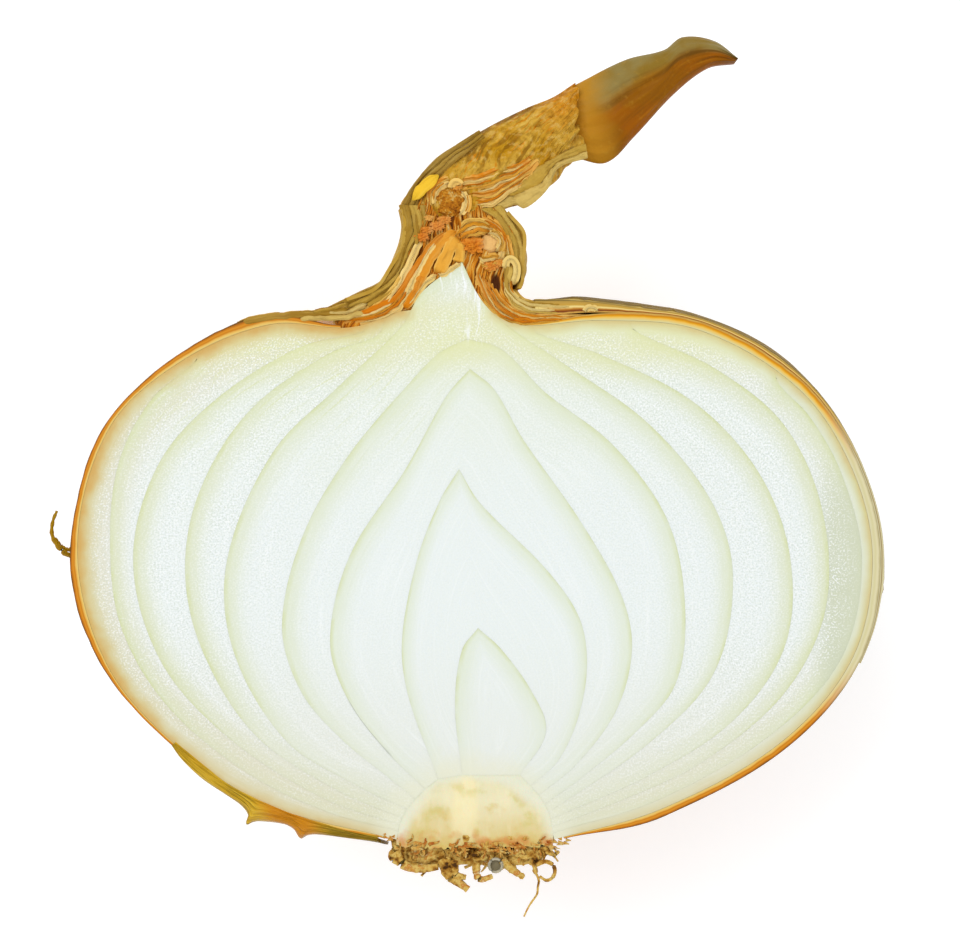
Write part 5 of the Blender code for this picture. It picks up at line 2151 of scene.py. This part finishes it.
    def build(self) -> None:
        """Builds and dresses the neck and the stalk."""
        beige = (
            tone(160, 120, 34), tone(190, 148, 50), tone(208, 170, 72), tone(236, 210, 134),
        )
        orange = (
            tone(222, 126, 2), tone(234, 154, 22), tone(242, 188, 78), tone(252, 224, 150),
        )
        outer_leaf = LeafFinish(
            "outer_neck_leaf", beige, dark=tone(122, 90, 28), pale=tone(214, 190, 114), shade=0.35,
        ).material()
        core = CoreFinish("neck_core").material()
        outer = self._leaf("neck_sheath_fine", self.sheath, 0.4, 0.4)
        dress(outer, outer_leaf, Slot.STRAW, "neck_sheath")
        second = self._leaf("neck_middle_fine", self.middle, 0.35, 0.2)
        dress(second, outer_leaf, Slot.DRY_SKIN, "neck_middle_sheath")
        third = half_solid(
            "neck_lining_fine", self.bed[0].points(90), self.bed[1].points(90), 30, 150, 0.1,
            0.2, 0.3, 0.2, 0.3,
        )
        dress(third, core, Slot.DRY_SKIN, "neck_lining")
        knot = pebble(
            "bud_grain", Vector((-1.9, 35.3, CUT - 0.7)), Vector((1.65, 1.55, 1.3)), 0.16, 0.4,
        )
        brown = ClumpFinish("bud_tissue", (
            tone(146, 80, 14), tone(206, 126, 24), tone(228, 156, 44), tone(244, 204, 120),
        ), 900.0).material()
        dress(knot, brown, Slot.DRY_SKIN, "inner_leaf_ends")
        balls = [pebble(
            "folded_ball", Vector((2.05, 31.2, CUT - 0.3)), Vector((0.95, 0.9, 0.7)), 0.1, 0.9,
        )]
        for (x, y), radius, layer in self.lumps:
            size = Vector((radius * 1.25, radius * 0.8, radius * 0.7))
            balls.append(pebble("lump", Vector((x, y, CUT - 0.15)), size, 0.55, layer))
        peach = (tone(228, 130, 16), tone(234, 150, 36), tone(238, 178, 84), tone(240, 192, 124))
        mass = Bench.join("folded_leaf_lumps", balls, LEAF_EDGE)
        dress(mass, LeafFinish("peach_tissue", peach, shade=0.3).material(), Slot.DRY_SKIN)
        for bundle in self.beige_bundles:
            dress(bundle.build(), outer_leaf, Slot.STRAW)
        # the last number of each set is the strength of the painted highlight on each strip's edges
        sets = (
            ("orange_leaf_folds", self.orange_folds, orange, 0.45),
            ("beige_leaf_folds", self.beige_folds, beige, 0.4),
        )
        for name, folds, tones, edge_highlight in sets:
            made = Bench.join(
                name, [fold.build(i) for i, fold in enumerate(folds)], LEAF_EDGE,
            )
            finish = LeafFinish(
                f"{name}_tissue", tones, pale=tone(244, 204, 108), edge_highlight=edge_highlight, shade=0.35,
            )
            dress(made, finish.material(), Slot.DRY_SKIN)
        chip = Fold(
            ((-5.75, 35.5), (-4.6, 36.75), (-3.15, 38.0)), 1.15, 0.5, -0.4, 0.1, 0.15, taper=0.3,
        ).build(90)
        chip.name = "yellow_leaf_chip"
        Bench.smooth(chip, LEAF_EDGE)
        bright = LeafFinish(
            "yellow_chip", (tone(252, 204, 44), tone(244, 186, 30)), pale=tone(254, 220, 90),
            dark=tone(206, 140, 20), shade=0.35,
        )
        dress(chip, bright.material(), Slot.STRAW)
        stalk = self._loft("dry_stalk_fine", self.stalk, 6.0, 0.0, 0.5, 1.3)
        dress(stalk, StalkFinish("stalk_leaf").material(), Slot.STRAW, "dry_stalk")
        leaf = self._loft("stalk_tip_fine", self.tip, 3.4, -1.5, 0.2)
        dress(leaf, TipFinish("tip_leaf").material(), Slot.TIP, "stalk_tip_leaf")


@dataclass
class Studio:
    """Pale floor, soft light and the camera straight above the cut face.

    frame_width is the width that the camera sees, in millimetres, and centre the place on
    the cut face that it looks at. Each light has its place, its size and its power.
    """

    frame_width: float = 96.0
    centre: Point = (1.0, 8.7)
    lens: float = 100.0
    sensor: float = 36.0
    nearest: float = 0.01
    floor: float = 6.0
    surround: float = 0.86
    lights: tuple[tuple[Vector, float, float], ...] = (
        (Vector((-0.28, 0.30, 0.62)), 0.5, 1.9),
        (Vector((0.45, -0.15, 0.45)), 0.6, 0.8),
    )

    def build(self) -> None:
        """Builds the floor, the lights, the world and the camera."""
        bpy.ops.object.select_all(action="DESELECT")
        bpy.ops.mesh.primitive_plane_add(size=self.floor, location=(0, 0, 0))
        floor = bpy.context.object
        floor.name = "plain_floor"
        floor.data.materials.append(FloorFinish().material())
        target = Vector((self.centre[0], self.centre[1], CUT)) * MM
        for i, (place, size, power) in enumerate(self.lights):
            lamp = bpy.data.lights.new(f"soft_light_{i}", "AREA")
            lamp.size = size
            lamp.energy = power
            holder = bpy.data.objects.new(lamp.name, lamp)
            holder.location = place
            holder.rotation_euler = (target - place).to_track_quat("-Z", "Y").to_euler()
            bpy.context.scene.collection.objects.link(holder)
        world = bpy.data.worlds.new("soft_surround")
        world.use_nodes = True
        world.node_tree.nodes["Background"].inputs["Color"].default_value = (1, 1, 1, 1)
        world.node_tree.nodes["Background"].inputs["Strength"].default_value = self.surround
        bpy.context.scene.world = world
        bpy.context.scene.view_settings.view_transform = "Standard"
        eye = bpy.data.cameras.new("camera")
        eye.lens = self.lens
        eye.sensor_width = self.sensor
        eye.clip_start = self.nearest
        holder = bpy.data.objects.new("camera", eye)
        away = self.frame_width * self.lens / self.sensor * MM
        holder.location = target + Vector((0, 0, away))
        bpy.context.scene.collection.objects.link(holder)
        bpy.context.scene.camera = holder


def main() -> None:
    """Builds every sub-assembly in order."""
    logging.basicConfig(level=logging.INFO, format="%(name)s: %(message)s")
    for part in (Studio(), Flesh(), Base(), Skins(), Neck()):
        LOG.info("building %s", type(part).__name__)
        part.build()


if __name__ == "__main__":
    main()
